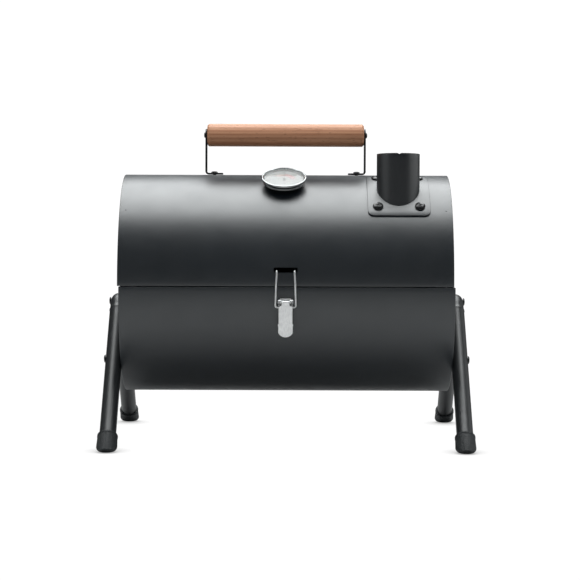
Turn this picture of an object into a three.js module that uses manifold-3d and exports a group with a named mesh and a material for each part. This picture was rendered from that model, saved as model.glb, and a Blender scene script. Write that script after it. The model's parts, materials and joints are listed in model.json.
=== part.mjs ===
// Table-top barrel charcoal smoker: a hinged half-barrel lid with a chimney, a thermometer and a
// wooden handle, latched to a lower half-barrel that stands on two tubular leg frames.
// Millimetres, +Z up. Origin: middle of the footprint, on the floor. +X runs along the barrel to
// the chimney side, and the front, with the latch, faces -Y.

import * as THREE from 'three';
import { mergeVertices } from 'three/addons/utils/BufferGeometryUtils.js';
import Module from 'manifold-3d';

const wasm = await Module();
wasm.setup();

// ---------------------------------------------------------------- driving dimensions

const GAP = 0.3;                    // air between pieces that touch
const SHEET = 1.2;                  // steel sheet

const BARREL = {
  radius: 129,                      // outside of both shells
  halfLength: 192,
  axisHeight: 184.5,                // barrel axis and split line above the floor
  splitGap: 0.8,
  lidShift: -1.5,                   // side play of the lid in its hinges
  facets: 36,                       // flats round a half barrel
};

const HEM = { height: 7, endClearance: 18 };
const END_PLATE = { recess: 0.5, flange: 14 };
const VENT = { radius: 6, pitch: 24, count: 4, drop: 66 };

const LEG = {
  tubeRadius: 9.5,
  wall: 1.2,
  apexDrop: 22.3,                   // apex centreline below the barrel axis
  bendRadius: 18,
  bendSteps: 6,
  slope: 45,                        // degrees from the vertical
  endAboveFloor: 11,
  midBoltReach: 72,                 // mid bolts, measured along Y from the barrel axis
};
const FOOT = { topRadius: 11.3, soleRadius: 11.9, length: 23.5, overrun: 5 };
const LEG_BOLT = { headRadius: 4.6, headHeight: 1.9, shankRadius: 3, nutRadius: 5.6, nutHeight: 4.5 };

const HINGE = {
  spread: 125,                      // each hinge from the middle
  knuckleRadius: 3.6,
  pinRadius: 1.6,
  leafThickness: 1.8,
  segment: 14,                      // length of one knuckle
  segmentGap: 0.5,
  leafStart: 2.4,                   // degrees from the split line
  leafEnd: 12.5,
};

const CHIMNEY = {
  x: 129,
  y: -67.5,
  radius: 25,
  top: 153.8,                       // above the barrel axis
  flangeWidth: 72,
  flangeDepth: 88,
  flangeCorner: 7,
  flangeThickness: 1.5,
  boreRadius: 23.4,
  screwSpreadX: 24.3,
  screwSpreadAngle: 13.8,
};
const CHIMNEY_SCREW = { headRadius: 6, headHeight: 2.6, shankRadius: 2.5, nutRadius: 5, nutHeight: 3.5 };

const HANDLE = {
  x: -2.4,
  gripRadius: 13.5,
  chamfer: 2,
  height: 176.5,                    // grip axis above the barrel axis
  halfSpan: 95.8,                   // outer faces of the brackets
  strap: 2,
  strapWidth: 15,
  bendRadius: 4,                    // outside of the bend
  footLength: 21,
  footScrewInset: 10.8,
  endScrewDepth: 20,
};
const HANDLE_SCREW = { headRadius: 3.9, headHeight: 1.9, shankRadius: 2, nutRadius: 4.2, nutHeight: 3 };

const DIAL = {
  x: -4,
  angle: 26,                        // degrees forward of the top
  caseRadius: 26.3,
  backRadius: 22,
  faceHeight: 11.5,                 // bezel above the lid
  backHeight: 5.8,
  wall: 1.1,
  discRadius: 21.2,
  glassRadius: 23.9,
  discThickness: 0.8,
  glassThickness: 1.2,
  needleLength: 18,
  needleTail: 5,
  needleTailHalf: 1.1,
  needleTipHalf: 0.35,
  hubRadius: 2.2,
  needleThickness: 0.6,
  collarRadius: 6,
  threadRadius: 4,
  probeRadius: 2.2,
  probeReach: 62,
  nutRadius: 8,
  nutHeight: 4.5,
};

const LATCH = {
  x: -1.5,
  slotHalfWidth: 13.6,
  slotBottom: 16.1,
  slotTop: 22,
  pinOut: 134.2,                    // fulcrum from the barrel axis, towards the front
  pinDrop: 17,
  pinRadius: 1.5,
  tilt: 14,                         // the closed lever leans in at its tip
  plateHalfWidth: 7.9,
  plateOut: 4,
  gauge: 1.2,
  length: 40.5,
  tipRadius: 9,
  bailPivotDrop: 6.2,
  bailPivotOut: 0.5,
  wireRadius: 1.1,
  bailFootHalf: 11.6,
  bailTopHalf: 10.2,
  bailReach: 5.6,                   // of each hook, past the lip of the slot
  tongueHalf: 4.4,                  // the narrower top of the plate, between the knuckles
  tongueTop: 1.1,                   // above the fulcrum
  shoulderDrop: 3.9,
  knuckleRadius: 3,                 // of the cheeks, round the fulcrum
  earHalf: 6.2,
  earRadius: 2.9,
  earFootDrop: 5,
  barLift: 2.6,                     // of the bar that joins the two ears, above the fulcrum
  strapAngles: [5, 23],             // down the front, from the split line
  rivetRadius: 1.5,
  rivetHead: { radius: 2.8, height: 1.2 },
  rivetTail: { radius: 2.4, height: 0.9 },
  rivetAngles: [13, 19],
  pinHead: { radius: 2.3, height: 0.7 },
};

const GRATE = {
  halfLength: 184,
  halfWidth: 116,
  level: -11.7,                     // rod centres, from the barrel axis
  frameRadius: 2,
  barRadius: 1.5,
  barPitch: 19.5,
  stiffenerOffset: 58,
  stiffenerInset: 9,
};
const RAIL = { top: -14, depth: 10, ledge: 11.5, halfLength: 104 };
const COAL_TRAY = {
  halfLength: 168,
  halfWidth: 76,
  level: -82,
  skirt: 17,
  slotRows: 3,
  slotColumns: 9,
  slotLength: 34,
  slotWidth: 9,
};

// ---------------------------------------------------------------- materials

const paint = new THREE.MeshStandardMaterial({ color: 0x2c2f31, roughness: 0.5, metalness: 0.3 });
const tubePaint = new THREE.MeshStandardMaterial({ color: 0x232628, roughness: 0.45, metalness: 0.3 });
const beech = new THREE.MeshStandardMaterial({ color: 0xc9976d, roughness: 0.6, metalness: 0 });
const zinc = new THREE.MeshStandardMaterial({ color: 0xd5d7d8, roughness: 0.3, metalness: 1 });
const blackScrew = new THREE.MeshStandardMaterial({ color: 0x151617, roughness: 0.3, metalness: 0.8 });
const stainless = new THREE.MeshStandardMaterial({ color: 0xc4c8c9, roughness: 0.2, metalness: 1 });
const dialFace = new THREE.MeshStandardMaterial({ color: 0xe9e9e6, roughness: 0.5, metalness: 0 });
const needleRed = new THREE.MeshStandardMaterial({ color: 0x2a1a1a, roughness: 0.5, metalness: 0.1 });
const glass = new THREE.MeshStandardMaterial({ color: 0xf0f4f4, roughness: 0.05, metalness: 0 });
const rubber = new THREE.MeshStandardMaterial({ color: 0x202223, roughness: 0.85, metalness: 0 });
const chromeWire = new THREE.MeshStandardMaterial({ color: 0xc9cbcc, roughness: 0.25, metalness: 1 });
const bareSteel = new THREE.MeshStandardMaterial({ color: 0x8e9192, roughness: 0.4, metalness: 0.9 });

// ---------------------------------------------------------------- solid helpers

const radians = THREE.MathUtils.degToRad;
const degrees = THREE.MathUtils.radToDeg;

// Closed position-only copy of a geometry, without collapsed triangles and facing outwards.
function toSolid(geometry) {
  const bare = new THREE.BufferGeometry();
  const source = geometry.index ? geometry.toNonIndexed() : geometry;
  bare.setAttribute('position', source.getAttribute('position').clone());
  const merged = mergeVertices(bare, 1e-4);
  const points = merged.getAttribute('position').array;
  const corners = merged.index.array;
  const kept = [];
  let volume = 0;
  for (let i = 0; i < corners.length; i += 3) {
    const [a, b, c] = [corners[i], corners[i + 1], corners[i + 2]];
    if (a === b || b === c || c === a) continue;
    kept.push(a, b, c);
    const [p, q, r] = [a, b, c].map((k) => new THREE.Vector3().fromArray(points, 3 * k));
    volume += p.dot(q.cross(r));
  }
  const outward = volume > 0 ? kept : kept.reverse();
  return new wasm.Manifold(new wasm.Mesh({
    numProp: 3,
    vertProperties: new Float32Array(points),
    triVerts: new Uint32Array(outward),
  }));
}

function toGeometry(solid) {
  const mesh = solid.getMesh();
  const geometry = new THREE.BufferGeometry();
  geometry.setAttribute('position', new THREE.BufferAttribute(new Float32Array(mesh.vertProperties), 3));
  geometry.setIndex(new THREE.BufferAttribute(new Uint32Array(mesh.triVerts), 1));
  geometry.computeVertexNormals();
  return geometry;
}

const join = (...pieces) => toGeometry(pieces.map(toSolid).reduce((sum, piece) => sum.add(piece)));

const cut = (body, ...tools) => toGeometry(
  tools.map(toSolid).reduce((rest, tool) => rest.subtract(tool), toSolid(body)));

const common = (first, second) => toGeometry(toSolid(first).intersect(toSolid(second)));

const moved = (geometry, x, y, z) => geometry.clone().translate(x, y, z);

// Turned about the barrel axis, so that what stood at the top leans forward by an angle in degrees.
const leaned = (geometry, angle, x) => geometry.clone().rotateX(radians(angle)).translate(x, 0, 0);

const mirroredX = (geometry) => toGeometry(toSolid(geometry.clone().scale(-1, 1, 1)));

function box(x0, x1, y0, y1, z0, z1) {
  const geometry = new THREE.BoxGeometry(x1 - x0, y1 - y0, z1 - z0);
  return geometry.translate((x0 + x1) / 2, (y0 + y1) / 2, (z0 + z1) / 2);
}

// A round bar, or one with few flats, between two points.
function rod(radius, start, end, sides = 16) {
  const from = new THREE.Vector3(...start);
  const to = new THREE.Vector3(...end);
  const along = to.clone().sub(from);
  const geometry = new THREE.CylinderGeometry(radius, radius, along.length(), sides);
  const turn = new THREE.Quaternion().setFromUnitVectors(new THREE.Vector3(0, 1, 0), along.normalize());
  const middle = from.add(to).multiplyScalar(0.5);
  return geometry.applyQuaternion(turn).translate(middle.x, middle.y, middle.z);
}

// A turned piece about the Z axis, from its [radius, height] outline.
function turned(outline, sides = 24) {
  const points = outline.map(([radius, height]) => new THREE.Vector2(radius, height));
  return new THREE.LatheGeometry(points, sides).rotateX(Math.PI / 2);
}

const alongX = (geometry) => geometry.rotateY(Math.PI / 2);

// An outline drawn in (Y, Z) and extruded along X; each arc gets two flats for each curve segment.
function extrudedX(shape, x0, x1, curveSegments = BARREL.facets / 2) {
  const geometry = new THREE.ExtrudeGeometry(shape, { depth: x1 - x0, bevelEnabled: false, curveSegments });
  const axes = new THREE.Matrix4().makeBasis(
    new THREE.Vector3(0, 1, 0), new THREE.Vector3(0, 0, 1), new THREE.Vector3(1, 0, 0));
  return geometry.applyMatrix4(axes).translate(x0, 0, 0);
}

// A curved plate: part of a ring about the barrel axis, between two angles measured from +Y.
function ringSector(inner, outer, start, end) {
  const shape = new THREE.Shape();
  shape.absarc(0, 0, outer, radians(start), radians(end), false);
  shape.absarc(0, 0, inner, radians(end), radians(start), true);
  return shape;
}

function discSector(radius, start, end) {
  const shape = new THREE.Shape();
  shape.absarc(0, 0, radius, radians(start), radians(end), false);
  return shape;
}

function roundedRectangle(width, height, corner) {
  const shape = new THREE.Shape();
  const x = width / 2 - corner;
  const y = height / 2 - corner;
  shape.absarc(x, y, corner, 0, Math.PI / 2, false);
  shape.absarc(-x, y, corner, Math.PI / 2, Math.PI, false);
  shape.absarc(-x, -y, corner, Math.PI, 1.5 * Math.PI, false);
  shape.absarc(x, -y, corner, 1.5 * Math.PI, 2 * Math.PI, false);
  return shape;
}

function circleShape(radius) {
  const shape = new THREE.Shape();
  shape.absarc(0, 0, radius, 0, 2 * Math.PI, false);
  return shape;
}

// A route through points, one extrusion step for each stretch, whatever its length.
class Route extends THREE.Curve {
  constructor(points) {
    super();
    this.points = points;
  }

  getUtoTmapping(u) {
    return u;
  }

  getPoint(t) {
    const last = this.points.length - 1;
    const place = Math.min(Math.max(t, 0), 1) * last;
    const index = Math.min(Math.floor(place), last - 1);
    return this.points[index].clone().lerp(this.points[index + 1], place - index);
  }
}

function swept(points, radius, sides) {
  return new THREE.ExtrudeGeometry(circleShape(radius), {
    steps: points.length - 1,
    curveSegments: sides / 2,
    extrudePath: new Route(points),
  });
}

// A polyline whose inner corners are rounded off over a given reach.
function filleted(corners, reach, steps = 4) {
  const points = [corners[0]];
  for (let i = 1; i < corners.length - 1; i += 1) {
    const before = corners[i - 1].clone().sub(corners[i]);
    const after = corners[i + 1].clone().sub(corners[i]);
    const start = corners[i].clone().addScaledVector(before.normalize(), reach);
    const end = corners[i].clone().addScaledVector(after.normalize(), reach);
    const bend = new THREE.QuadraticBezierCurve3(start, corners[i], end);
    points.push(...bend.getPoints(steps));
  }
  points.push(corners[corners.length - 1]);
  return points;
}

// A dome-headed screw along +Z with its nut run on: the head sits on z = 0 and the shank points
// down, with the nut's near face at -grip.
function screwWithNut({ headRadius, headHeight, shankRadius, nutRadius, nutHeight }, grip, tail = 2.5) {
  const head = turned([
    [0, 0], [headRadius, 0], [headRadius * 0.92, headHeight * 0.45],
    [headRadius * 0.6, headHeight * 0.85], [0, headHeight],
  ], 12);
  const shank = rod(shankRadius, [0, 0, 0.3], [0, 0, -grip - nutHeight - tail], 8);
  const nut = rod(nutRadius, [0, 0, -grip], [0, 0, -grip - nutHeight], 6);
  return join(head, shank, nut);
}

function piece(name, geometry, material) {
  const mesh = new THREE.Mesh(toGeometry(toSolid(geometry)), material);
  mesh.name = name;
  return mesh;
}

// ---------------------------------------------------------------- barrel

const innerRadius = BARREL.radius - SHEET;
const splitAngle = degrees(Math.asin(BARREL.splitGap / 2 / BARREL.radius));
const lidArc = [splitAngle, 180 - splitAngle];
const lowerArc = [180 + splitAngle, 360 - splitAngle];
const chimneyAngle = degrees(Math.asin(-CHIMNEY.y / BARREL.radius));
const chimneyScrews = [-1, 1].flatMap((side) => [-1, 1].map((end) => ({
  x: CHIMNEY.x + side * CHIMNEY.screwSpreadX,
  angle: chimneyAngle + end * CHIMNEY.screwSpreadAngle,
  name: `chimney_screw_${end > 0 ? 'front' : 'rear'}_${side > 0 ? 'right' : 'left'}`,
})));

// A half barrel with folded hems along its two straight edges.
function halfShell([start, end]) {
  const { radius, halfLength } = BARREL;
  const hemAngle = degrees(HEM.height / radius);
  const hemHalf = halfLength - HEM.endClearance;
  const shell = extrudedX(ringSector(innerRadius, radius, start, end), -halfLength, halfLength);
  const hem = (from) => extrudedX(
    ringSector(innerRadius - SHEET, innerRadius + SHEET / 2, from, from + hemAngle), -hemHalf, hemHalf, 1);
  return join(shell, hem(start), hem(end - hemAngle));
}

// A half-round end pressing with a flange that lies inside the shell; made for the +X end.
function endPressing([start, end]) {
  const outer = innerRadius - GAP;
  const face = BARREL.halfLength - END_PLATE.recess;
  const blank = extrudedX(discSector(outer, start, end), face - END_PLATE.flange, face);
  const hollow = discSector(outer - SHEET, start - 2, end + 2);
  return cut(blank, extrudedX(hollow, face - END_PLATE.flange - 1, face - SHEET));
}

function lidShell() {
  const reach = BARREL.radius + 10;
  const slot = box(LATCH.x - LATCH.slotHalfWidth, LATCH.x + LATCH.slotHalfWidth,
    -reach, -BARREL.radius / 2, LATCH.slotBottom, LATCH.slotTop);
  const chimneyHole = rod(CHIMNEY.boreRadius, [CHIMNEY.x, CHIMNEY.y, 0], [CHIMNEY.x, CHIMNEY.y, reach], 32);
  const hole = (radius, angle, x) => leaned(rod(radius, [0, 0, 100], [0, 0, reach], 8), angle, x);
  const screwHoles = chimneyScrews.map(({ x, angle }) => hole(CHIMNEY_SCREW.shankRadius + GAP, angle, x));
  const footHoles = [-1, 1].map((side) => hole(
    HANDLE_SCREW.shankRadius + GAP, 0, HANDLE.x + side * (HANDLE.halfSpan - HANDLE.footScrewInset)));
  const dialHole = hole(DIAL.threadRadius + 2 * GAP, DIAL.angle, DIAL.x);
  const shell = moved(halfShell(lidArc), BARREL.lidShift, 0, 0);
  return cut(shell, slot, chimneyHole, dialHole, ...screwHoles, ...footHoles);
}

function lowerShell() {
  const rivetHoles = LATCH.rivetAngles.map((angle) => latchRivetTool(angle, LATCH.rivetRadius + GAP));
  return cut(halfShell(lowerArc), ...rivetHoles);
}

// Barrel ends of the lower half are drilled for the leg bolts and the air vents.
function lowerEnd() {
  const drill = (radius, y, z) => rod(radius, [150, y, z], [220, y, z], 8);
  const boltHoles = legBolts.map(({ y, z }) => drill(LEG_BOLT.shankRadius + GAP, y, z));
  const vents = Array.from({ length: VENT.count }, (_, i) => drill(
    VENT.radius, (i - (VENT.count - 1) / 2) * VENT.pitch, -VENT.drop));
  return cut(endPressing(lowerArc), ...boltHoles, ...vents);
}

// ---------------------------------------------------------------- legs

const tubeCentreX = BARREL.halfLength + GAP + LEG.tubeRadius;
const slope = radians(LEG.slope);
const bendCentreZ = -LEG.apexDrop - LEG.bendRadius;
// Where the two straight legs would meet if the bend were sharp.
const virtualApexZ = bendCentreZ + LEG.bendRadius / Math.sin(slope);
const legHeightAt = (reach) => virtualApexZ - reach / Math.tan(slope);
const legReachAt = (z) => (virtualApexZ - z) * Math.tan(slope);
const soleReach = legReachAt(-BARREL.axisHeight);
const legBolts = [
  { name: 'apex', y: 0, z: -LEG.apexDrop },
  { name: 'front', y: -LEG.midBoltReach, z: legHeightAt(LEG.midBoltReach) },
  { name: 'rear', y: LEG.midBoltReach, z: legHeightAt(LEG.midBoltReach) },
];

function legCentreline(extension) {
  const endZ = -BARREL.axisHeight + LEG.endAboveFloor - extension * Math.cos(slope);
  const reach = legReachAt(endZ);
  const bend = Array.from({ length: LEG.bendSteps + 1 }, (_, i) => {
    const angle = slope + (Math.PI - 2 * slope) * (i / LEG.bendSteps);
    const across = -LEG.bendRadius * Math.cos(angle);
    return new THREE.Vector3(0, across, bendCentreZ + LEG.bendRadius * Math.sin(angle));
  });
  return [new THREE.Vector3(0, -reach, endZ), ...bend, new THREE.Vector3(0, reach, endZ)];
}

function legFrame() {
  const outside = swept(legCentreline(0), LEG.tubeRadius, 16);
  const bore = swept(legCentreline(2), LEG.tubeRadius - LEG.wall, 16);
  const drills = legBolts.map(({ y, z }) => rod(LEG_BOLT.shankRadius + GAP, [-20, y, z], [20, y, z], 8));
  return moved(cut(outside, bore, ...drills), tubeCentreX, 0, 0);
}

// A rubber cap on the end of the front leg, cut level with the floor.
function foot() {
  const { topRadius, soleRadius, length, overrun } = FOOT;
  const blank = turned([
    [0, -overrun], [soleRadius, -overrun], [soleRadius, length * 0.3],
    [topRadius + 0.4, length - 1.5], [topRadius - 0.6, length], [0, length],
  ]);
  const socketEnd = LEG.endAboveFloor / Math.cos(slope) - GAP;
  const socket = rod(LEG.tubeRadius + GAP, [0, 0, socketEnd], [0, 0, length + 5], 16);
  const cap = cut(blank, socket).rotateX(-slope);
  const floor = box(-40, 40, -60, 60, -60, 0);
  return moved(cut(cap, floor), tubeCentreX, -soleReach, -BARREL.axisHeight);
}

function legBolt(y, z) {
  const headSeat = tubeCentreX + LEG.tubeRadius + 0.2;
  const plateInside = BARREL.halfLength - END_PLATE.recess - SHEET;
  const bolt = screwWithNut(LEG_BOLT, headSeat - plateInside + GAP);
  return moved(alongX(bolt), headSeat, y, z);
}

// ---------------------------------------------------------------- hinges

const pinY = BARREL.radius + GAP + HINGE.knuckleRadius;
const knucklePitch = HINGE.segment + HINGE.segmentGap;

// Half of a butt hinge: a leaf bent to the barrel, with knuckles on the shared pin. sign is +1 for
// the lid's leaf and -1 for the lower one; places lists its knuckles, counted from the middle one.
function hingeLeaf(sign, places) {
  const inner = BARREL.radius + GAP;
  const outer = inner + HINGE.leafThickness;
  const half = 1.5 * knucklePitch;
  const arc = (from, to) => (sign > 0 ? [from, to] : [-to, -from]);
  const plate = extrudedX(ringSector(inner, outer, ...arc(HINGE.leafStart, HINGE.leafEnd)), -half, half, 2);
  const knuckles = places.flatMap((place) => {
    const x0 = place * knucklePitch - HINGE.segment / 2;
    const x1 = x0 + HINGE.segment;
    const web = extrudedX(ringSector(inner, outer, ...arc(0.6, HINGE.leafStart + 0.6)), x0, x1, 1);
    return [web, rod(HINGE.knuckleRadius, [x0, pinY, 0], [x1, pinY, 0], 12)];
  });
  const bore = rod(HINGE.pinRadius + GAP, [-half - 5, pinY, 0], [half + 5, pinY, 0], 10);
  return cut(join(plate, ...knuckles), bore);
}

function hingePin() {
  const half = 1.5 * knucklePitch;
  const head = rod(HINGE.knuckleRadius - 0.8, [half + 0.2, pinY, 0], [half + 1.4, pinY, 0], 12);
  return join(rod(HINGE.pinRadius, [-half - 1, pinY, 0], [half + 0.6, pinY, 0], 10), head);
}

// ---------------------------------------------------------------- chimney

function chimneyFlange() {
  const inner = BARREL.radius + GAP;
  const outer = inner + CHIMNEY.flangeThickness;
  const curved = extrudedX(ringSector(inner, outer, ...lidArc), CHIMNEY.x - 50, CHIMNEY.x + 50);
  const outline = roundedRectangle(CHIMNEY.flangeWidth, CHIMNEY.flangeDepth, CHIMNEY.flangeCorner);
  const blank = new THREE.ExtrudeGeometry(outline, { depth: 150, bevelEnabled: false, curveSegments: 3 });
  const plate = common(curved, leaned(blank, chimneyAngle, CHIMNEY.x));
  const bore = rod(CHIMNEY.boreRadius, [CHIMNEY.x, CHIMNEY.y, 0], [CHIMNEY.x, CHIMNEY.y, 200], 32);
  const drills = chimneyScrews.map(({ x, angle }) => leaned(
    rod(CHIMNEY_SCREW.shankRadius + GAP, [0, 0, 100], [0, 0, 150], 8), angle, x));
  return cut(plate, bore, ...drills);
}

function chimneyPipe() {
  const { x, y, radius, top } = CHIMNEY;
  const outside = rod(radius, [x, y, 40], [x, y, top], 40);
  const bore = rod(radius - SHEET, [x, y, 30], [x, y, top + 10], 40);
  const seatRadius = BARREL.radius + CHIMNEY.flangeThickness + 2 * GAP;
  const seat = extrudedX(discSector(seatRadius, ...lidArc), x - 50, x + 50);
  return cut(outside, bore, seat);
}

function chimneyScrew({ x, angle }) {
  const seat = BARREL.radius + CHIMNEY.flangeThickness + 2 * GAP;
  const screw = screwWithNut(CHIMNEY_SCREW, seat - innerRadius + GAP);
  return leaned(moved(screw, 0, 0, seat), angle, x);
}

// ---------------------------------------------------------------- handle

const gripHalf = HANDLE.halfSpan - HANDLE.strap - GAP;

function handleGrip() {
  const { gripRadius, chamfer, endScrewDepth } = HANDLE;
  const grip = turned([
    [0, -gripHalf], [gripRadius - chamfer, -gripHalf], [gripRadius, -gripHalf + chamfer],
    [gripRadius, gripHalf - chamfer], [gripRadius - chamfer, gripHalf], [0, gripHalf],
  ], 24);
  const pilot = (side) => rod(HANDLE_SCREW.shankRadius + GAP,
    [0, 0, side * (gripHalf - endScrewDepth - 1)], [0, 0, side * (gripHalf + 1)], 8);
  return moved(alongX(cut(grip, pilot(-1), pilot(1))), HANDLE.x, 0, HANDLE.height);
}

// The right-hand bracket: a strap bent to an L, with its foot pointing inwards and a round top.
function handleBracket() {
  const { halfSpan, strap, strapWidth, bendRadius, footLength, height } = HANDLE;
  const footZ = BARREL.radius + 0.4;
  const topZ = height + strapWidth / 2;
  const side = new THREE.Shape();
  side.moveTo(halfSpan - footLength, footZ + strap);
  side.lineTo(halfSpan - footLength, footZ);
  side.absarc(halfSpan - bendRadius, footZ + bendRadius, bendRadius, -Math.PI / 2, 0, false);
  side.lineTo(halfSpan, topZ);
  side.lineTo(halfSpan - strap, topZ);
  side.absarc(halfSpan - bendRadius, footZ + bendRadius, bendRadius - strap, 0, -Math.PI / 2, true);
  const bent = new THREE.ExtrudeGeometry(side, { depth: strapWidth, bevelEnabled: false, curveSegments: 2 });
  bent.rotateX(Math.PI / 2).translate(0, strapWidth / 2, 0);
  const face = new THREE.Shape();
  face.moveTo(-strapWidth / 2, footZ - 5);
  face.lineTo(strapWidth / 2, footZ - 5);
  face.absarc(0, height, strapWidth / 2, 0, Math.PI, false);
  const outline = extrudedX(face, halfSpan - footLength - 5, halfSpan + 5, 5);
  const holeRadius = HANDLE_SCREW.shankRadius + GAP;
  const endHole = rod(holeRadius, [halfSpan - 10, 0, height], [halfSpan + 10, 0, height], 8);
  const screwX = halfSpan - HANDLE.footScrewInset;
  const footHole = rod(holeRadius, [screwX, 0, footZ - 5], [screwX, 0, footZ + 10], 8);
  return cut(common(bent, outline), endHole, footHole);
}

function handleFootScrew() {
  const seat = BARREL.radius + 0.4 + HANDLE.strap + 0.2;
  const screw = screwWithNut(HANDLE_SCREW, seat - innerRadius + GAP);
  return moved(screw, HANDLE.halfSpan - HANDLE.footScrewInset, 0, seat);
}

function handleEndScrew() {
  const { headRadius, headHeight, shankRadius } = HANDLE_SCREW;
  const head = turned([
    [0, 0], [headRadius * 0.85, 0], [headRadius * 0.7, headHeight * 0.5], [0, headHeight * 0.9],
  ], 14);
  const shank = rod(shankRadius, [0, 0, 0.3], [0, 0, -HANDLE.strap - HANDLE.endScrewDepth], 8);
  return moved(alongX(join(head, shank)), HANDLE.halfSpan + 0.2, 0, HANDLE.height);
}

// ---------------------------------------------------------------- thermometer

const onDial = (geometry) => leaned(geometry, DIAL.angle, DIAL.x);
const dialBack = BARREL.radius + DIAL.backHeight;
const dialTop = BARREL.radius + DIAL.faceHeight;
const discLevel = dialBack + DIAL.wall + GAP;

function thermometerCase() {
  const { caseRadius, backRadius, wall, discRadius, glassRadius } = DIAL;
  const bowl = turned([
    [0, dialBack], [backRadius - 1, dialBack], [backRadius, dialBack + 0.8],
    [caseRadius - 0.4, dialTop - 2.6], [caseRadius, dialTop - 1.2],
    [caseRadius - 0.8, dialTop], [0, dialTop],
  ], 36);
  const inside = turned([
    [0, dialBack + wall], [discRadius + 0.1, dialBack + wall], [glassRadius + GAP, dialTop - 2.2],
    [glassRadius + GAP, dialTop + 1], [0, dialTop + 1],
  ], 36);
  const back = rod(DIAL.threadRadius + GAP, [0, 0, dialBack - 2], [0, 0, dialBack + 3], 16);
  return cut(bowl, inside, back);
}

function thermometerDial() {
  return turned([
    [0, discLevel], [DIAL.discRadius, discLevel], [DIAL.discRadius, discLevel + DIAL.discThickness],
    [0, discLevel + DIAL.discThickness],
  ], 36);
}

function thermometerGlass() {
  const low = dialTop - 0.4 - DIAL.glassThickness;
  return turned([
    [0, low], [DIAL.glassRadius, low], [DIAL.glassRadius, low + DIAL.glassThickness * 0.6],
    [DIAL.glassRadius * 0.6, low + DIAL.glassThickness * 0.9], [0, low + DIAL.glassThickness],
  ], 36);
}

// The pointer lies on the dial's radius that faces the top of the lid.
function thermometerNeedle() {
  const level = discLevel + DIAL.discThickness + GAP;
  const blade = new THREE.Shape();
  blade.moveTo(-DIAL.needleTailHalf, -DIAL.needleTail);
  blade.lineTo(DIAL.needleTailHalf, -DIAL.needleTail);
  blade.lineTo(DIAL.needleTipHalf, DIAL.needleLength);
  blade.lineTo(-DIAL.needleTipHalf, DIAL.needleLength);
  const flat = new THREE.ExtrudeGeometry(blade, { depth: DIAL.needleThickness, bevelEnabled: false });
  const hub = rod(DIAL.hubRadius, [0, 0, level], [0, 0, level + 1], 16);
  return join(moved(flat, 0, 0, level), hub);
}

function thermometerStem() {
  const { collarRadius, threadRadius, probeRadius, probeReach } = DIAL;
  const collarLow = BARREL.radius + GAP;
  return turned([
    [0, BARREL.radius - probeReach], [probeRadius, BARREL.radius - probeReach + 2],
    [probeRadius, BARREL.radius - 13], [threadRadius, BARREL.radius - 12], [threadRadius, collarLow],
    [collarRadius, collarLow], [collarRadius, dialBack - GAP], [threadRadius, dialBack - GAP],
    [threadRadius, dialBack + DIAL.wall], [0, dialBack + DIAL.wall],
  ], 16);
}

function thermometerNut() {
  const top = innerRadius - GAP - 0.2;
  const blank = rod(DIAL.nutRadius, [0, 0, top - DIAL.nutHeight], [0, 0, top], 6);
  return cut(blank, rod(DIAL.threadRadius + GAP, [0, 0, top - 20], [0, 0, top + 5], 16));
}

// ---------------------------------------------------------------- latch

// Rivets stand square to the barrel, at an angle below the split line on the front.
const atFront = (geometry, angle) => leaned(geometry, 90 + angle, LATCH.x);

function latchRivetTool(angle, radius) {
  return atFront(rod(radius, [0, 0, 110], [0, 0, 140], 8), angle);
}

function latchBase() {
  const { earHalf, earRadius, earFootDrop, barLift, gauge, pinOut, pinDrop, rivetAngles } = LATCH;
  const strapArc = LATCH.strapAngles.map((angle) => 180 + angle);
  const inner = BARREL.radius + GAP;
  const strip = ringSector(inner, inner + gauge, ...strapArc);
  const strap = extrudedX(strip, LATCH.x - earHalf, LATCH.x + earHalf, 3);
  const ear = new THREE.Shape();
  const barBottom = -pinDrop + barLift;
  const barTop = barBottom + gauge;
  ear.moveTo(-inner + 1.6, -pinDrop - earFootDrop);
  ear.lineTo(-inner + 1, barTop);
  ear.absarc(-pinOut, -pinDrop, earRadius, Math.PI / 2, 1.5 * Math.PI, false);
  const flank = (side) => extrudedX(ear,
    LATCH.x + Math.min(side * earHalf, side * (earHalf - gauge)),
    LATCH.x + Math.max(side * earHalf, side * (earHalf - gauge)), 4);
  const curve = extrudedX(discSector(inner, 150, 210), LATCH.x - 2 * earHalf, LATCH.x + 2 * earHalf, 8);
  const bar = box(LATCH.x - earHalf, LATCH.x + earHalf, -inner - gauge, -inner + 1, barBottom, barTop);
  const ears = cut(join(flank(-1), bar, flank(1)), curve);
  const pinHole = rod(LATCH.pinRadius + GAP, [-30, -pinOut, -pinDrop], [30, -pinOut, -pinDrop], 12);
  const drills = rivetAngles.map((angle) => latchRivetTool(angle, LATCH.rivetRadius + GAP));
  return cut(join(strap, ears), pinHole, ...drills);
}

function latchRivet(angle) {
  const seat = BARREL.radius + GAP + LATCH.gauge + 0.2;
  const { rivetHead, rivetTail } = LATCH;
  const head = turned([[0, 0], [rivetHead.radius, 0], [rivetHead.radius * 0.8, rivetHead.height * 0.65],
    [0, rivetHead.height]], 12);
  const tail = rod(rivetTail.radius, [0, 0, 0], [0, 0, rivetTail.height], 12);
  const inside = innerRadius - GAP - rivetTail.height;
  const shank = rod(LATCH.rivetRadius, [0, 0, inside + 0.2], [0, 0, seat + 0.2], 8);
  return atFront(join(moved(head, 0, 0, seat), moved(tail, 0, 0, inside), shank), angle);
}

function latchPin() {
  const half = LATCH.plateHalfWidth + GAP;
  const at = (x) => [LATCH.x + x, -LATCH.pinOut, -LATCH.pinDrop];
  const { radius, height } = LATCH.pinHead;
  const head = (side) => rod(radius, at(side * half), at(side * (half + height)), 12);
  return join(rod(LATCH.pinRadius, at(-half - 0.3), at(half + 0.3), 12), head(-1), head(1));
}

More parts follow.
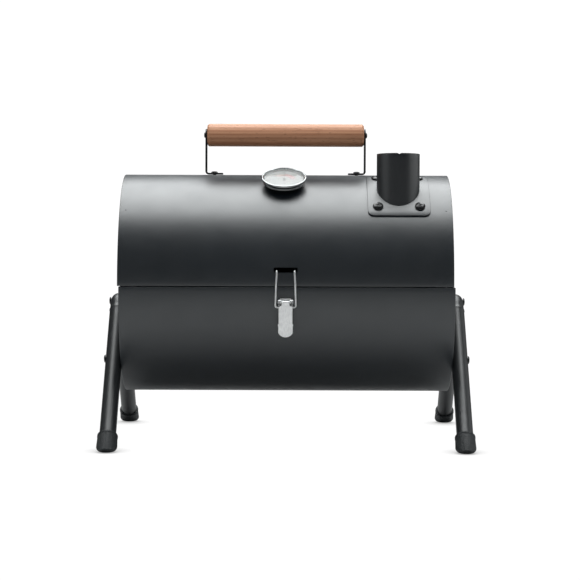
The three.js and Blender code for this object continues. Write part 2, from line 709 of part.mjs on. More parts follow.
// The lever hangs from its fulcrum at the origin: a face plate, with two cheeks for the pins.
function latchLever() {
  const { plateHalfWidth, plateOut, gauge, length, tipRadius, bailPivotDrop, bailPivotOut } = LATCH;
  const { tongueHalf, tongueTop, shoulderDrop, knuckleRadius } = LATCH;
  const face = new THREE.Shape();
  const shoulder = Math.sqrt(tipRadius ** 2 - plateHalfWidth ** 2);
  const start = Math.atan2(-shoulder, plateHalfWidth);
  face.moveTo(plateHalfWidth, -shoulderDrop);
  face.lineTo(tongueHalf, -shoulderDrop);
  face.lineTo(tongueHalf, tongueTop);
  face.lineTo(-tongueHalf, tongueTop);
  face.lineTo(-tongueHalf, -shoulderDrop);
  face.lineTo(-plateHalfWidth, -shoulderDrop);
  face.absarc(0, -length + tipRadius, tipRadius, Math.PI - start, 2 * Math.PI + start, false);
  const plate = new THREE.ExtrudeGeometry(face, { depth: gauge, bevelEnabled: false, curveSegments: 5 });
  plate.rotateX(Math.PI / 2).translate(0, -plateOut, 0);
  const cheek = new THREE.Shape();
  cheek.moveTo(-plateOut - gauge / 2, -length + tipRadius);
  cheek.lineTo(-plateOut + 1.4, -length + tipRadius);
  cheek.lineTo(-plateOut + 1.8, -16);
  cheek.lineTo(2, -9.2);
  cheek.absarc(0, 0, knuckleRadius, radians(-30), radians(150), false);
  cheek.lineTo(-plateOut - gauge / 2, -shoulderDrop);
  const flank = (side) => extrudedX(cheek,
    Math.min(side * plateHalfWidth, side * (plateHalfWidth - gauge)),
    Math.max(side * plateHalfWidth, side * (plateHalfWidth - gauge)), 4);
  const bore = (radius, y, z) => rod(radius, [-20, y, z], [20, y, z], 12);
  return cut(join(plate, flank(-1), flank(1)),
    bore(LATCH.pinRadius + GAP, 0, 0),
    bore(LATCH.wireRadius + GAP, -bailPivotOut, -bailPivotDrop));
}

const tilt = radians(LATCH.tilt);
const bailPivot = {
  y: -LATCH.pinOut - LATCH.bailPivotOut * Math.cos(tilt) + LATCH.bailPivotDrop * Math.sin(tilt),
  z: -LATCH.pinDrop - LATCH.bailPivotOut * Math.sin(tilt) - LATCH.bailPivotDrop * Math.cos(tilt),
};

// The wire bail runs through both cheeks, up each side, and hooks over the lower lip of the slot.
function latchBail() {
  const { bailFootHalf, bailTopHalf, bailReach, wireRadius, slotBottom } = LATCH;
  const lip = -BARREL.radius;
  const half = [
    [bailFootHalf, bailPivot.y, bailPivot.z],
    [bailTopHalf, lip - 1.6, slotBottom - 1.5],
    [bailTopHalf, lip + 0.1, slotBottom + 1.9],
    [bailTopHalf, lip + bailReach, slotBottom + 1.45],
  ];
  const right = half.map(([x, y, z]) => new THREE.Vector3(LATCH.x + x, y, z));
  const left = half.map(([x, y, z]) => new THREE.Vector3(LATCH.x - x, y, z));
  const corners = [...left.reverse(), ...right];
  return swept(filleted(corners, 0.95, 2), wireRadius, 8);
}

// ---------------------------------------------------------------- inside the barrel

function cookingGrate() {
  const { halfLength, halfWidth, level, frameRadius, barRadius, barPitch } = GRATE;
  const { stiffenerOffset, stiffenerInset } = GRATE;
  const lengthwise = (radius, y, z, half) => rod(radius, [-half, y, z], [half, y, z], 6);
  const crosswise = (radius, x, half) => rod(radius, [x, -half, level], [x, half, level], 6);
  const rods = [];
  for (const side of [-1, 1]) {
    rods.push(lengthwise(frameRadius, side * halfWidth, level, halfLength + frameRadius));
    rods.push(crosswise(frameRadius, side * halfLength, halfWidth + frameRadius));
    rods.push(lengthwise(barRadius, side * stiffenerOffset, level - 1.2, halfLength - stiffenerInset));
  }
  const bars = 2 * Math.floor((halfLength - barPitch / 2) / barPitch) + 1;
  for (let i = 0; i < bars; i += 1) {
    rods.push(crosswise(barRadius, (i - (bars - 1) / 2) * barPitch, halfWidth));
  }
  return join(...rods);
}

// An angle welded to the right-hand end, whose ledge carries the end rod of the grate.
function grateRail() {
  const wallX = BARREL.halfLength - END_PLATE.recess - SHEET - GAP;
  const { top, depth, ledge, halfLength } = RAIL;
  const upright = box(wallX - SHEET, wallX, -halfLength, halfLength, top - SHEET, top + depth);
  const shelf = box(wallX - ledge, wallX - SHEET / 2, -halfLength, halfLength, top - SHEET, top);
  return join(upright, shelf);
}

function charcoalTray() {
  const { halfLength, halfWidth, level, skirt, slotRows, slotColumns, slotLength, slotWidth } = COAL_TRAY;
  const block = box(-halfLength, halfLength, -halfWidth, halfWidth, level - skirt, level);
  const hollow = box(-halfLength + SHEET, halfLength - SHEET, -halfWidth + SHEET, halfWidth - SHEET,
    level - skirt - 5, level - SHEET);
  const slots = [];
  for (let row = 0; row < slotRows; row += 1) {
    for (let column = 0; column < slotColumns; column += 1) {
      const x = (column - (slotColumns - 1) / 2) * (2 * halfLength / slotColumns);
      const y = (row - (slotRows - 1) / 2) * (2 * halfWidth / slotRows);
      slots.push(box(x - slotWidth / 2, x + slotWidth / 2, y - slotLength / 2, y + slotLength / 2,
        level - 5, level + 5));
    }
  }
  return cut(block, hollow, ...slots);
}

// ---------------------------------------------------------------- assembly

const base = new THREE.Group();
base.add(piece('lower_shell', lowerShell(), paint));
base.add(piece('lower_end_right', lowerEnd(), paint));
base.add(piece('lower_end_left', mirroredX(lowerEnd()), paint));
base.add(piece('leg_frame_right', legFrame(), tubePaint));
base.add(piece('leg_frame_left', mirroredX(legFrame()), tubePaint));

for (const [side, sideName] of [[1, 'right'], [-1, 'left']]) {
  for (const [end, endName] of [[1, 'front'], [-1, 'rear']]) {
    const cap = foot().scale(side, end, 1);
    base.add(piece(`foot_${endName}_${sideName}`, cap, rubber));
  }
  for (const { name, y, z } of legBolts) {
    base.add(piece(`leg_bolt_${name}_${sideName}`, legBolt(y, z).scale(side, 1, 1), blackScrew));
  }
  const leafX = side * HINGE.spread;
  base.add(piece(`hinge_leaf_lower_${sideName}`, moved(hingeLeaf(-1, [0]), leafX, 0, 0), paint));
  base.add(piece(`hinge_pin_${sideName}`, moved(hingePin(), leafX, 0, 0), zinc));
  base.add(piece(`grate_rail_${sideName}`, grateRail().scale(side, 1, 1), bareSteel));
}

base.add(piece('latch_base', latchBase(), zinc));
base.add(piece('latch_fulcrum_pin', latchPin(), zinc));
LATCH.rivetAngles.forEach((angle, i) => {
  base.add(piece(`latch_rivet_${i === 0 ? 'upper' : 'lower'}`, latchRivet(angle), zinc));
});
base.add(piece('charcoal_tray', charcoalTray(), bareSteel));
base.add(piece('cooking_grate', cookingGrate(), chromeWire));

const lever = piece('latch_lever', latchLever(), zinc);
lever.position.set(LATCH.x, -LATCH.pinOut, -LATCH.pinDrop);
lever.rotation.x = tilt;
base.add(lever);
base.add(piece('latch_bail', latchBail(), zinc));

const lid = new THREE.Group();
lid.add(piece('lid_shell', lidShell(), paint));
for (const [side, sideName] of [[1, 'right'], [-1, 'left']]) {
  const end = endPressing(lidArc).scale(side, 1, 1).translate(BARREL.lidShift, 0, 0);
  lid.add(piece(`lid_end_${sideName}`, end, paint));
  const leafX = side * HINGE.spread;
  lid.add(piece(`hinge_leaf_upper_${sideName}`, moved(hingeLeaf(1, [-1, 1]), leafX, 0, 0), paint));
  const onHandle = (geometry) => moved(geometry.scale(side, 1, 1), HANDLE.x, 0, 0);
  lid.add(piece(`handle_bracket_${sideName}`, onHandle(handleBracket()), blackScrew));
  lid.add(piece(`handle_foot_screw_${sideName}`, onHandle(handleFootScrew()), blackScrew));
  lid.add(piece(`handle_end_screw_${sideName}`, onHandle(handleEndScrew()), blackScrew));
}
lid.add(piece('handle_grip', handleGrip(), beech));
lid.add(piece('chimney_pipe', chimneyPipe(), paint));
lid.add(piece('chimney_flange', chimneyFlange(), paint));
chimneyScrews.forEach((screw) => lid.add(piece(screw.name, chimneyScrew(screw), blackScrew)));
lid.add(piece('thermometer_case', onDial(thermometerCase()), stainless));
lid.add(piece('thermometer_dial', onDial(thermometerDial()), dialFace));
lid.add(piece('thermometer_glass', onDial(thermometerGlass()), glass));
lid.add(piece('thermometer_needle', onDial(thermometerNeedle()), needleRed));
lid.add(piece('thermometer_stem', onDial(thermometerStem()), stainless));
lid.add(piece('thermometer_nut', onDial(thermometerNut()), stainless));

const smoker = new THREE.Group();
smoker.add(base, lid);
smoker.position.z = BARREL.axisHeight;

export default smoker;
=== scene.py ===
"""Looks of the table-top barrel charcoal smoker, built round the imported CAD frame.

Metres, +Z up, the frame's own axes: +X runs along the barrel to the chimney side, the front is -Y.
Every fine piece takes its place and size from the CAD node that it stands for. The outlines that go
through arcs() are listed in millimetres.
"""

import json
from math import asin, atan2, cos, degrees, pi, radians, sin, sqrt, tan

import bmesh
import bpy
from mathutils import Matrix, Vector

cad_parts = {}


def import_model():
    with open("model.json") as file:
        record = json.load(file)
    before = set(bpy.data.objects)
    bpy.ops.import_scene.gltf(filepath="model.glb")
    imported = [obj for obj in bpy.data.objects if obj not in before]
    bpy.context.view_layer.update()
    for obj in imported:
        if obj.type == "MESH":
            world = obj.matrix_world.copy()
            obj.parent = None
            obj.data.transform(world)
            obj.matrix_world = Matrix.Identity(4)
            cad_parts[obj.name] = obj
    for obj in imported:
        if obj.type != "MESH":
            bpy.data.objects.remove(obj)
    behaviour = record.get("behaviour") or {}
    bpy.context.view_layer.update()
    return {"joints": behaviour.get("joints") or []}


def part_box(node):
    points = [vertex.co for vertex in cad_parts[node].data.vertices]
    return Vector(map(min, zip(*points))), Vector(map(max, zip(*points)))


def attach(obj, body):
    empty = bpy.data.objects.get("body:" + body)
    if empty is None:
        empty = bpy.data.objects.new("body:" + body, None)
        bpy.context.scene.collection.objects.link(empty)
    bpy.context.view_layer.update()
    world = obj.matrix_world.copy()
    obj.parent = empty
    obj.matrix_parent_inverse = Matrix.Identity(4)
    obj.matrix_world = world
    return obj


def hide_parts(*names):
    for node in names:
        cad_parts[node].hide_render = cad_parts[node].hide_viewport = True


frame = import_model()

# ---------------------------------------------------------------- sizes

MM = 0.001
SHEET = 1.2 * MM                        # shells, end pressings, chimney, tray
GAP = 0.3 * MM
FAR = 20 * MM                           # how far a cutting tool runs past what it cuts
ROUND_STEPS = 5                         # stretches in a rounded corner
ARC_STEPS = 96                          # stretches round a half barrel

HEM_HEIGHT = 7 * MM
HEM_INSET = 18 * MM                     # plain sheet left beyond each end of a hem
HEM_FOLD = 1.5 * MM                     # length over which a hem rises out of the plain sheet
END_FLANGE = 14 * MM
PRESS_RADIUS = 2.2 * MM                 # outer corner of an end pressing

WELD_LEAN = 48                          # degrees forward and back of the top
WELD_INSET = 7.2 * MM                   # from each end of the lid
WELD_RADIUS = 1.1 * MM
WELD_DEPTH = 0.36 * MM

VENT_RADIUS = 6 * MM
VENT_PITCH = 24 * MM
VENT_COUNT = 4
VENT_DROP = 66 * MM                     # below the barrel axis

LEG_SLOPE = radians(45)
LEG_BEND_RADIUS = 18 * MM
LEG_END_HEIGHT = 11 * MM

FLANGE_SHEET = 1.5 * MM
PIPE_BORE = 23.4 * MM                   # radius of the hole under the chimney
CHIMNEY_RIM_SLOPE = tan(radians(2))   # the rim falls a little to the rear
CHIMNEY_NOTCH_WIDTH = 4.8 * MM
CHIMNEY_NOTCH_DEPTH = 1.2 * MM
CHIMNEY_SCREW_LEAN = 13.8               # degrees forward and back of the pipe's axis
CHIMNEY_SCREWS = [f"chimney_screw_{end}_{side}" for end in ("rear", "front") for side in ("left", "right")]


def joint(name):
    return next(j for j in frame["joints"] if j["name"] == name)


def middle(node):
    low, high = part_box(node)
    return (low + high) / 2


AXIS_Z = joint("lid_hinge")["pos_m"][2]
BARREL_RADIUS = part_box("lower_shell")[1].y
INNER_RADIUS = BARREL_RADIUS - SHEET
SLOT_LOW = AXIS_Z + 16.1 * MM           # the latch slot in the lid
SLOT_HIGH = AXIS_Z + 22 * MM
SLOT_CORNER = 1.4 * MM


def on_barrel(lean, x):
    """Takes local +Z to the barrel's radius that leans forward of the top by an angle in degrees."""
    return Matrix.Translation((x, 0, AXIS_Z)) @ Matrix.Rotation(radians(lean), 4, "X")


ALONG_X = Matrix.Rotation(pi / 2, 4, "Y")
MIRROR_X = Matrix.Diagonal((-1, 1, 1, 1))

# Take an outline made solid along Z to one drawn in X and Z that is solid to the front, to one drawn
# in Y and Z that is solid along X, and to one drawn in X and Z that is solid to the rear.
TO_FRONT = Matrix(((1, 0, 0, 0), (0, 0, -1, 0), (0, 1, 0, 0), (0, 0, 0, 1)))
SIDEWAYS = Matrix(((0, 0, 1, 0), (1, 0, 0, 0), (0, 1, 0, 0), (0, 0, 0, 1)))
TO_REAR = Matrix(((1, 0, 0, 0), (0, 0, 1, 0), (0, 1, 0, 0), (0, 0, 0, 1)))


def towards(side):
    """Leaves a piece made for the +X end as it is, or mirrors it for the -X end."""
    return Matrix.Identity(4) if side > 0 else MIRROR_X


# ---------------------------------------------------------------- mesh helpers

def placed(bm, *matrices):
    """The mesh moved by each matrix in turn."""
    for matrix in matrices:
        bmesh.ops.transform(bm, matrix=matrix, verts=bm.verts)
    bmesh.ops.recalc_face_normals(bm, faces=bm.faces)
    return bm


def rounded(corners, steps=ROUND_STEPS, closed=False):
    """Points along straight stretches whose corners, each (point, radius), are turned into arcs."""
    points = []
    last = len(corners) - 1
    for i, (corner, radius) in enumerate(corners):
        corner = Vector(corner)
        if radius == 0 or (not closed and i in (0, last)):
            points.append(corner)
            continue
        before = Vector(corners[i - 1][0]) - corner
        after = Vector(corners[(i + 1) % len(corners)][0]) - corner
        half = before.angle(after) / 2
        reach = radius / tan(half)
        centre = corner + (before.normalized() + after.normalized()).normalized() * radius / sin(half)
        first = corner + before.normalized() * reach - centre
        second = corner + after.normalized() * reach - centre
        turn = pi - 2 * half
        for k in range(steps + 1):
            share = k / steps
            mixed = first * sin((1 - share) * turn) + second * sin(share * turn)
            points.append(centre + mixed / sin(turn))
    return points


def arcs(stations, base=0.0, steps=ROUND_STEPS, closed=False):
    """Points through (x, y, corner radius) stations in millimetres, with y counted from base. On the
    profile of a turned piece, x is the radius and y the height."""
    corners = [((x * MM, base + y * MM), corner * MM) for x, y, corner in stations]
    return rounded(corners, steps, closed)


def revolve(profile, sides, turn=2 * pi, ring=False):
    """A body turned about Z from (radius, height) points. The points begin and end on the axis, or
    close on themselves when ring is true."""
    bm = bmesh.new()
    whole = turn > 2 * pi - 1e-6
    poles = {}
    columns = []
    for i in range(sides if whole else sides + 1):
        angle = turn * i / sides
        column = []
        for j, (radius, height) in enumerate(profile):
            if radius < 1e-9:
                if j not in poles:
                    poles[j] = bm.verts.new((0, 0, height))
                column.append(poles[j])
            else:
                column.append(bm.verts.new((radius * cos(angle), radius * sin(angle), height)))
        columns.append(column)
    stretches = len(profile) if ring else len(profile) - 1
    for i in range(sides):
        here, there = columns[i], columns[(i + 1) % len(columns)]
        for j in range(stretches):
            k = (j + 1) % len(profile)
            corners = list(dict.fromkeys((here[j], here[k], there[k], there[j])))
            if len(corners) > 2:
                bm.faces.new(corners)
    if not whole:
        bm.faces.new(columns[0])
        bm.faces.new(list(reversed(columns[-1])))
    bmesh.ops.recalc_face_normals(bm, faces=bm.faces)
    return bm


def loft(rings):
    """A closed skin through rings of points, each with as many points as the next, with flat ends."""
    bm = bmesh.new()
    rows = [[bm.verts.new(point) for point in ring] for ring in rings]
    for here, there in zip(rows, rows[1:]):
        for j in range(len(here)):
            k = (j + 1) % len(here)
            bm.faces.new((here[j], here[k], there[k], there[j]))
    bm.faces.new(list(reversed(rows[0])))
    bm.faces.new(rows[-1])
    bmesh.ops.recalc_face_normals(bm, faces=bm.faces)
    return bm


def sweep(points, radii, sides):
    """A round bar along a polyline, with a radius for each point."""
    normal = (points[1] - points[0]).normalized().orthogonal().normalized()
    turns = [2 * pi * k / sides for k in range(sides)]
    rings = []
    for i, (point, size) in enumerate(zip(points, radii)):
        along = (points[min(i + 1, len(points) - 1)] - points[max(i - 1, 0)]).normalized()
        normal = (normal - along * normal.dot(along)).normalized()
        side = along.cross(normal)
        rings.append([point + (normal * cos(a) + side * sin(a)) * size for a in turns])
    return loft(rings)


def wire(points, radius, sides):
    """A round bar whose two ends are slightly domed."""
    points = [Vector(p) for p in points]
    dome = [(0.0, 0.45), (0.15, 0.75), (0.5, 0.95)]     # place along the end and size, in radii
    first = (points[1] - points[0]).normalized() * radius
    last = (points[-2] - points[-1]).normalized() * radius
    head = [points[0] + first * along for along, _ in dome]
    tail = [points[-1] + last * along for along, _ in reversed(dome)]
    sizes = [radius * share for _, share in dome]
    body = [points[0] + first, *points[1:-1], points[-1] + last]
    return sweep(head + body + tail, sizes + [radius] * len(body) + sizes[::-1], sides)


def prism(outline, low, high, edge=0.0, segments=3):
    """An outline in X and Y made solid between two heights, with its cap edges rounded."""
    bm = loft([[(p[0], p[1], z) for p in outline] for z in (low, high)])
    if edge:
        edges = {e for cap in bm.faces if abs(cap.normal.z) > 0.9 for e in cap.edges}
        bmesh.ops.bevel(bm, geom=list(edges), offset=edge, segments=segments, profile=0.5,
                        affect="EDGES", clamp_overlap=True)
    bmesh.ops.recalc_face_normals(bm, faces=bm.faces)
    return bm


def rectangle(x0, x1, y0, y1, corner=0.0, steps=ROUND_STEPS):
    return rounded([(c, corner) for c in ((x0, y0), (x1, y0), (x1, y1), (x0, y1))], steps, closed=True)


def block(low, high, corner, edge=0.0):
    """A rectangular block, its four upright edges and its cap edges rounded."""
    return prism(rectangle(low[0], high[0], low[1], high[1], corner), low[2], high[2], edge)


def hexagon(radius):
    return [(radius * cos(pi / 3 * k), radius * sin(pi / 3 * k)) for k in range(6)]


def drill(radius, low, high, sides=48):
    return revolve([(0, low), (radius, low), (radius, high), (0, high)], sides)


def cross_drill(radius, at):
    """A drill along X through a point."""
    return placed(drill(radius, -FAR, FAR), ALONG_X, Matrix.Translation(at))


def bent(bm, cuts, place):
    """A flat piece cut across at the given lengths and then bent: place(x, s, t) says where the
    point at x across, s along and t through the thickness goes."""
    for cut_at in cuts:
        everything = list(bm.verts) + list(bm.edges) + list(bm.faces)
        bmesh.ops.bisect_plane(bm, geom=everything, plane_co=(0, cut_at, 0), plane_no=(0, 1, 0), dist=1e-8)
    for vertex in bm.verts:
        vertex.co = place(*vertex.co)
    bmesh.ops.recalc_face_normals(bm, faces=bm.faces)
    return bm


def round_the_barrel(bm, radius, reach, step=1.25):
    """A flat piece wrapped on the barrel: s = 0 lies on the top line and s grows to the front. It is
    cut across at every step, in degrees, as far as reach."""
    count = int(reach / step)
    lines = [radians(step * k) * radius for k in range(-count, count + 1)]

    def place(x, s, t):
        angle = s / radius
        return Vector((x, -(radius + t) * sin(angle), AXIS_Z + (radius + t) * cos(angle)))

    return bent(bm, lines, place)


def scratch_object(bm):
    mesh = bpy.data.meshes.new("scratch")
    bm.to_mesh(mesh)
    bm.free()
    obj = bpy.data.objects.new("scratch", mesh)
    bpy.context.scene.collection.objects.link(obj)
    return obj


def combine(operation, body, *tools):
    """The body joined with, or cut by, each closed tool."""
    for tool in tools:
        base, other = scratch_object(body), scratch_object(tool)
        modifier = base.modifiers.new("combine", "BOOLEAN")
        modifier.operation = operation
        modifier.solver = "EXACT"
        modifier.object = other
        body = bmesh.new()
        body.from_object(base, bpy.context.evaluated_depsgraph_get())
        for obj in (base, other):
            mesh = obj.data
            bpy.data.objects.remove(obj)
            bpy.data.meshes.remove(mesh)
    return body


def cut(body, *tools):
    return combine("DIFFERENCE", body, *tools)


def weld(body, *others):
    return combine("UNION", body, *others)


def together(*parts):
    """Separate closed bodies kept in one mesh."""
    result = bmesh.new()
    for part in parts:
        mesh = bpy.data.meshes.new("scratch")
        part.to_mesh(mesh)
        part.free()
        result.from_mesh(mesh)
        bpy.data.meshes.remove(mesh)
    return result


def add_piece(name, bm, material, body, replaced=(), crease=32):
    """A finished piece: smooth faces, crisp where they meet past the crease angle in degrees."""
    bmesh.ops.remove_doubles(bm, verts=bm.verts, dist=1e-7)
    for face in bm.faces:
        face.smooth = True
    for edge in bm.edges:
        edge.smooth = len(edge.link_faces) == 2 and edge.calc_face_angle(0) < radians(crease)
    mesh = bpy.data.meshes.new(name)
    bm.to_mesh(mesh)
    bm.free()
    obj = bpy.data.objects.new(name, mesh)
    bpy.context.scene.collection.objects.link(obj)
    mesh.materials.append(material)
    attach(obj, body)
    if replaced:
        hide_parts(*replaced)


# ---------------------------------------------------------------- materials

class Recipe:
    """A Principled material and the few nodes that most finishes share."""

    def __init__(self, name, roughness, metallic=0.0, specular=0.5):
        self.material = bpy.data.materials.new(name)
        self.material.use_nodes = True
        self.tree = self.material.node_tree
        self.shader = self.tree.nodes["Principled BSDF"]
        self.shader.inputs["Roughness"].default_value = roughness
        self.shader.inputs["Metallic"].default_value = metallic
        self.shader.inputs["Specular IOR Level"].default_value = specular

    def node(self, kind, inputs, **settings):
        """A node whose sockets are linked to other nodes' sockets or set to plain values."""
        node = self.tree.nodes.new(kind)
        for key, value in settings.items():
            setattr(node, key, value)
        for key, value in inputs.items():
            if isinstance(value, bpy.types.NodeSocket):
                self.tree.links.new(value, node.inputs[key])
            else:
                node.inputs[key].default_value = value
        return node

    def place(self, scale=(1, 1, 1), turn=(0, 0, 0)):
        """The piece's own coordinates in metres, stretched and turned."""
        coordinates = self.node("ShaderNodeTexCoord", {}).outputs["Object"]
        mapping = self.node("ShaderNodeMapping", {"Vector": coordinates, "Scale": scale, "Rotation": turn})
        return mapping.outputs["Vector"]

    def noise(self, vector, scale, detail, roughness, distortion=0.0):
        inputs = {"Vector": vector, "Scale": scale, "Detail": detail, "Roughness": roughness,
                  "Distortion": distortion}
        return self.node("ShaderNodeTexNoise", inputs).outputs["Fac"]

    def spread(self, value, low, high, to_low, to_high):
        inputs = {"Value": value, "From Min": low, "From Max": high, "To Min": to_low, "To Max": to_high}
        return self.node("ShaderNodeMapRange", inputs).outputs["Result"]

    def ramp(self, value, *stops):
        """Colours along a 0 to 1 value, from (place, red, green, blue) stops."""
        node = self.node("ShaderNodeValToRGB", {"Fac": value})
        elements = node.color_ramp.elements
        while len(elements) < len(stops):
            elements.new(0.5)
        for element, (position, *color) in zip(elements, stops):
            element.position = position
            element.color = (*color, 1)
        return node.outputs["Color"]

    def blend(self, share, first, second, mode="MIX"):
        colour_sockets = {0: share, 6: first, 7: second}
        return self.node("ShaderNodeMix", colour_sockets, data_type="RGBA", blend_type=mode).outputs[2]

    def bump(self, height, strength, depth, below=None):
        """A normal raised by a height, over another normal where there is one."""
        inputs = {"Height": height, "Strength": strength, "Distance": depth}
        if below is not None:
            inputs["Normal"] = below
        return self.node("ShaderNodeBump", inputs).outputs["Normal"]

    def finish(self, color, roughness, normal):
        """The material, with these three linked to its shader."""
        for name, value in (("Base Color", color), ("Roughness", roughness), ("Normal", normal)):
            self.tree.links.new(value, self.shader.inputs[name])
        return self.material


def scaled(color, factor, lift=0.0):
    return [c * factor + lift for c in color]


def powder_paint(name, color, roughness, index):
    """Satin powder coat: faint clouds of tone, fine flecks and a shallow orange peel."""
    recipe = Recipe(name, roughness)
    recipe.shader.inputs["IOR"].default_value = index
    place = recipe.place()
    clouds = recipe.noise(place, 9, 4, 0.55)
    tone = recipe.ramp(clouds, (0.3, *scaled(color, 0.88)), (0.7, *scaled(color, 1.14)))
    flecks = recipe.spread(recipe.noise(place, 1500, 2, 0.6), 0.58, 0.74, 0.0, 0.45)
    wipe = recipe.noise(place, 45, 3, 0.6)
    peel = recipe.noise(place, 520, 2, 0.5)
    grain = recipe.noise(place, 2200, 2, 0.7)
    coarse = recipe.bump(peel, 0.22, 0.12 * MM)
    return recipe.finish(recipe.blend(flecks, tone, (*scaled(color, 1.9, 0.004), 1)),
                         recipe.spread(wipe, 0.25, 0.75, roughness - 0.035, roughness + 0.035),
                         recipe.bump(grain, 0.3, 0.05 * MM, coarse))


def beech_wood(name):
    """Oiled steamed beech: pale orange brown, straight grain along X, short dark ray flecks."""
    recipe = Recipe(name, 0.5, specular=0.35)
    across_rings = recipe.place((0.12, 1, 1), (0.35, 0.004, 0.006))
    along_fibres = recipe.place((9, 560, 560), (0.2, 0.006, 0.009))
    along_rays = recipe.place((150, 900, 900))
    bands = {"Vector": across_rings, "Scale": 75.0, "Distortion": 2.2, "Detail": 3.0, "Detail Scale": 0.8,
             "Detail Roughness": 0.55}
    rings = recipe.node("ShaderNodeTexWave", bands, wave_type="BANDS", bands_direction="Z",
                        wave_profile="SIN").outputs["Fac"]
    growth = recipe.ramp(rings, (0.05, 0.56, 0.27, 0.15), (0.5, 0.64, 0.335, 0.195),
                         (0.95, 0.68, 0.37, 0.225))
    waver = recipe.noise(recipe.place((5, 26, 26)), 1.0, 3, 0.5, 0.4)
    drift = recipe.ramp(waver, (0.25, 0.80, 0.72, 0.68), (0.75, 1.0, 1.0, 1.0))
    strands = recipe.noise(along_fibres, 1.0, 4, 0.65)
    threads = recipe.ramp(strands, (0.3, 0.74, 0.66, 0.6), (0.62, 1.0, 1.0, 1.0))
    tone = recipe.blend(0.7, recipe.blend(0.85, growth, drift, "MULTIPLY"), threads, "MULTIPLY")
    rays = recipe.spread(recipe.noise(along_rays, 1.0, 1, 0.4), 0.64, 0.72, 0.0, 0.55)
    pores = recipe.bump(strands, 0.35, 0.12 * MM)
    return recipe.finish(recipe.blend(rays, tone, (0.235, 0.1, 0.05, 1)),
                         recipe.spread(strands, 0.3, 0.7, 0.58, 0.42),
                         recipe.bump(rays, 0.2, 0.08 * MM, pores))


def plated_steel(name, color, roughness, stretch, scratch=0.25):
    """Bright metal with drawn lines along one direction, cloudy plating and light handling marks."""
    recipe = Recipe(name, roughness, metallic=1.0)
    clouds = recipe.noise(recipe.place(), 160, 4, 0.6)
    tone = recipe.ramp(clouds, (0.3, *scaled(color, 0.92)), (0.65, *color))
    lines = recipe.noise(recipe.place(stretch), 1.0, 3, 0.6)
    streaks = recipe.ramp(lines, (0.35, 0.86, 0.86, 0.87), (0.6, 1.0, 1.0, 1.0))
    return recipe.finish(recipe.blend(0.8, tone, streaks, "MULTIPLY"),
                         recipe.spread(lines, 0.3, 0.7, roughness + 0.07, roughness - 0.05),
                         recipe.bump(lines, scratch, 0.04 * MM))


def gloss_black(name, color, roughness):
    """Black oxide and lacquer on a pressed part, with rub marks on the high spots."""
    recipe = Recipe(name, roughness, metallic=0.15, specular=0.6)
    place = recipe.place()
    rub = recipe.noise(place, 700, 4, 0.65)
    return recipe.finish(recipe.ramp(rub, (0.5, *color), (0.8, *scaled(color, 2.6, 0.01))),
                         recipe.spread(rub, 0.3, 0.7, roughness - 0.06, roughness + 0.1),
                         recipe.bump(recipe.noise(place, 1800, 2, 0.5), 0.15, 0.04 * MM))


def moulded_rubber(name, color):
    """Textured black rubber: a pebbled grain, dusty in its hollows."""
    recipe = Recipe(name, 0.72, specular=0.4)
    place = recipe.place()
    cells = recipe.node("ShaderNodeTexVoronoi", {"Vector": place, "Scale": 900.0},
                        feature="F1").outputs["Distance"]
    patches = recipe.noise(place, 380, 5, 0.7)
    dusty = scaled(color, 2.4, 0.006)
    tone = recipe.ramp(patches, (0.42, *color), (0.66, *dusty))
    pebbles = recipe.bump(cells, 0.8, 0.3 * MM)
    return recipe.finish(recipe.blend(0.35, tone, recipe.ramp(cells, (0.1, *color), (0.6, *dusty))),
                         recipe.spread(patches, 0.3, 0.7, 0.42, 0.7),
                         recipe.bump(patches, 0.8, 0.8 * MM, pebbles))


def printed_face(name, color):
    """Enamel print: even colour with a faint screen grain and slight yellowing."""
    roughness = 0.42
    recipe = Recipe(name, roughness, specular=0.4)
    place = recipe.place()
    stain = recipe.noise(place, 120, 3, 0.5)
    warm = (color[0] * 0.97, color[1] * 0.945, color[2] * 0.9)
    tone = recipe.ramp(stain, (0.3, *color), (0.75, *warm))
    grain = recipe.noise(place, 4200, 1, 0.5)
    screen = recipe.ramp(grain, (0.35, 0.93, 0.93, 0.93), (0.6, 1.0, 1.0, 1.0))
    return recipe.finish(recipe.blend(0.6, tone, screen, "MULTIPLY"),
                         recipe.spread(stain, 0.3, 0.7, roughness - 0.05, roughness + 0.08),
                         recipe.bump(recipe.noise(place, 2600, 1, 0.5), 0.08, 0.03 * MM))


def dial_crystal(name):
    """Clear domed glass, with a trace of wiping smears in its gloss."""
    recipe = Recipe(name, 0.05, specular=0.6)
    recipe.shader.inputs["Alpha"].default_value = 0.14
    recipe.material.blend_method = "BLEND"
    smears = recipe.noise(recipe.place((90, 240, 90), (0, 0, 0.5)), 1.0, 4, 0.6)
    return recipe.finish(recipe.ramp(smears, (0.3, 0.78, 0.82, 0.81), (0.7, 0.9, 0.92, 0.92)),
                         recipe.spread(smears, 0.35, 0.7, 0.03, 0.12),
                         recipe.bump(smears, 0.05, 0.02 * MM))


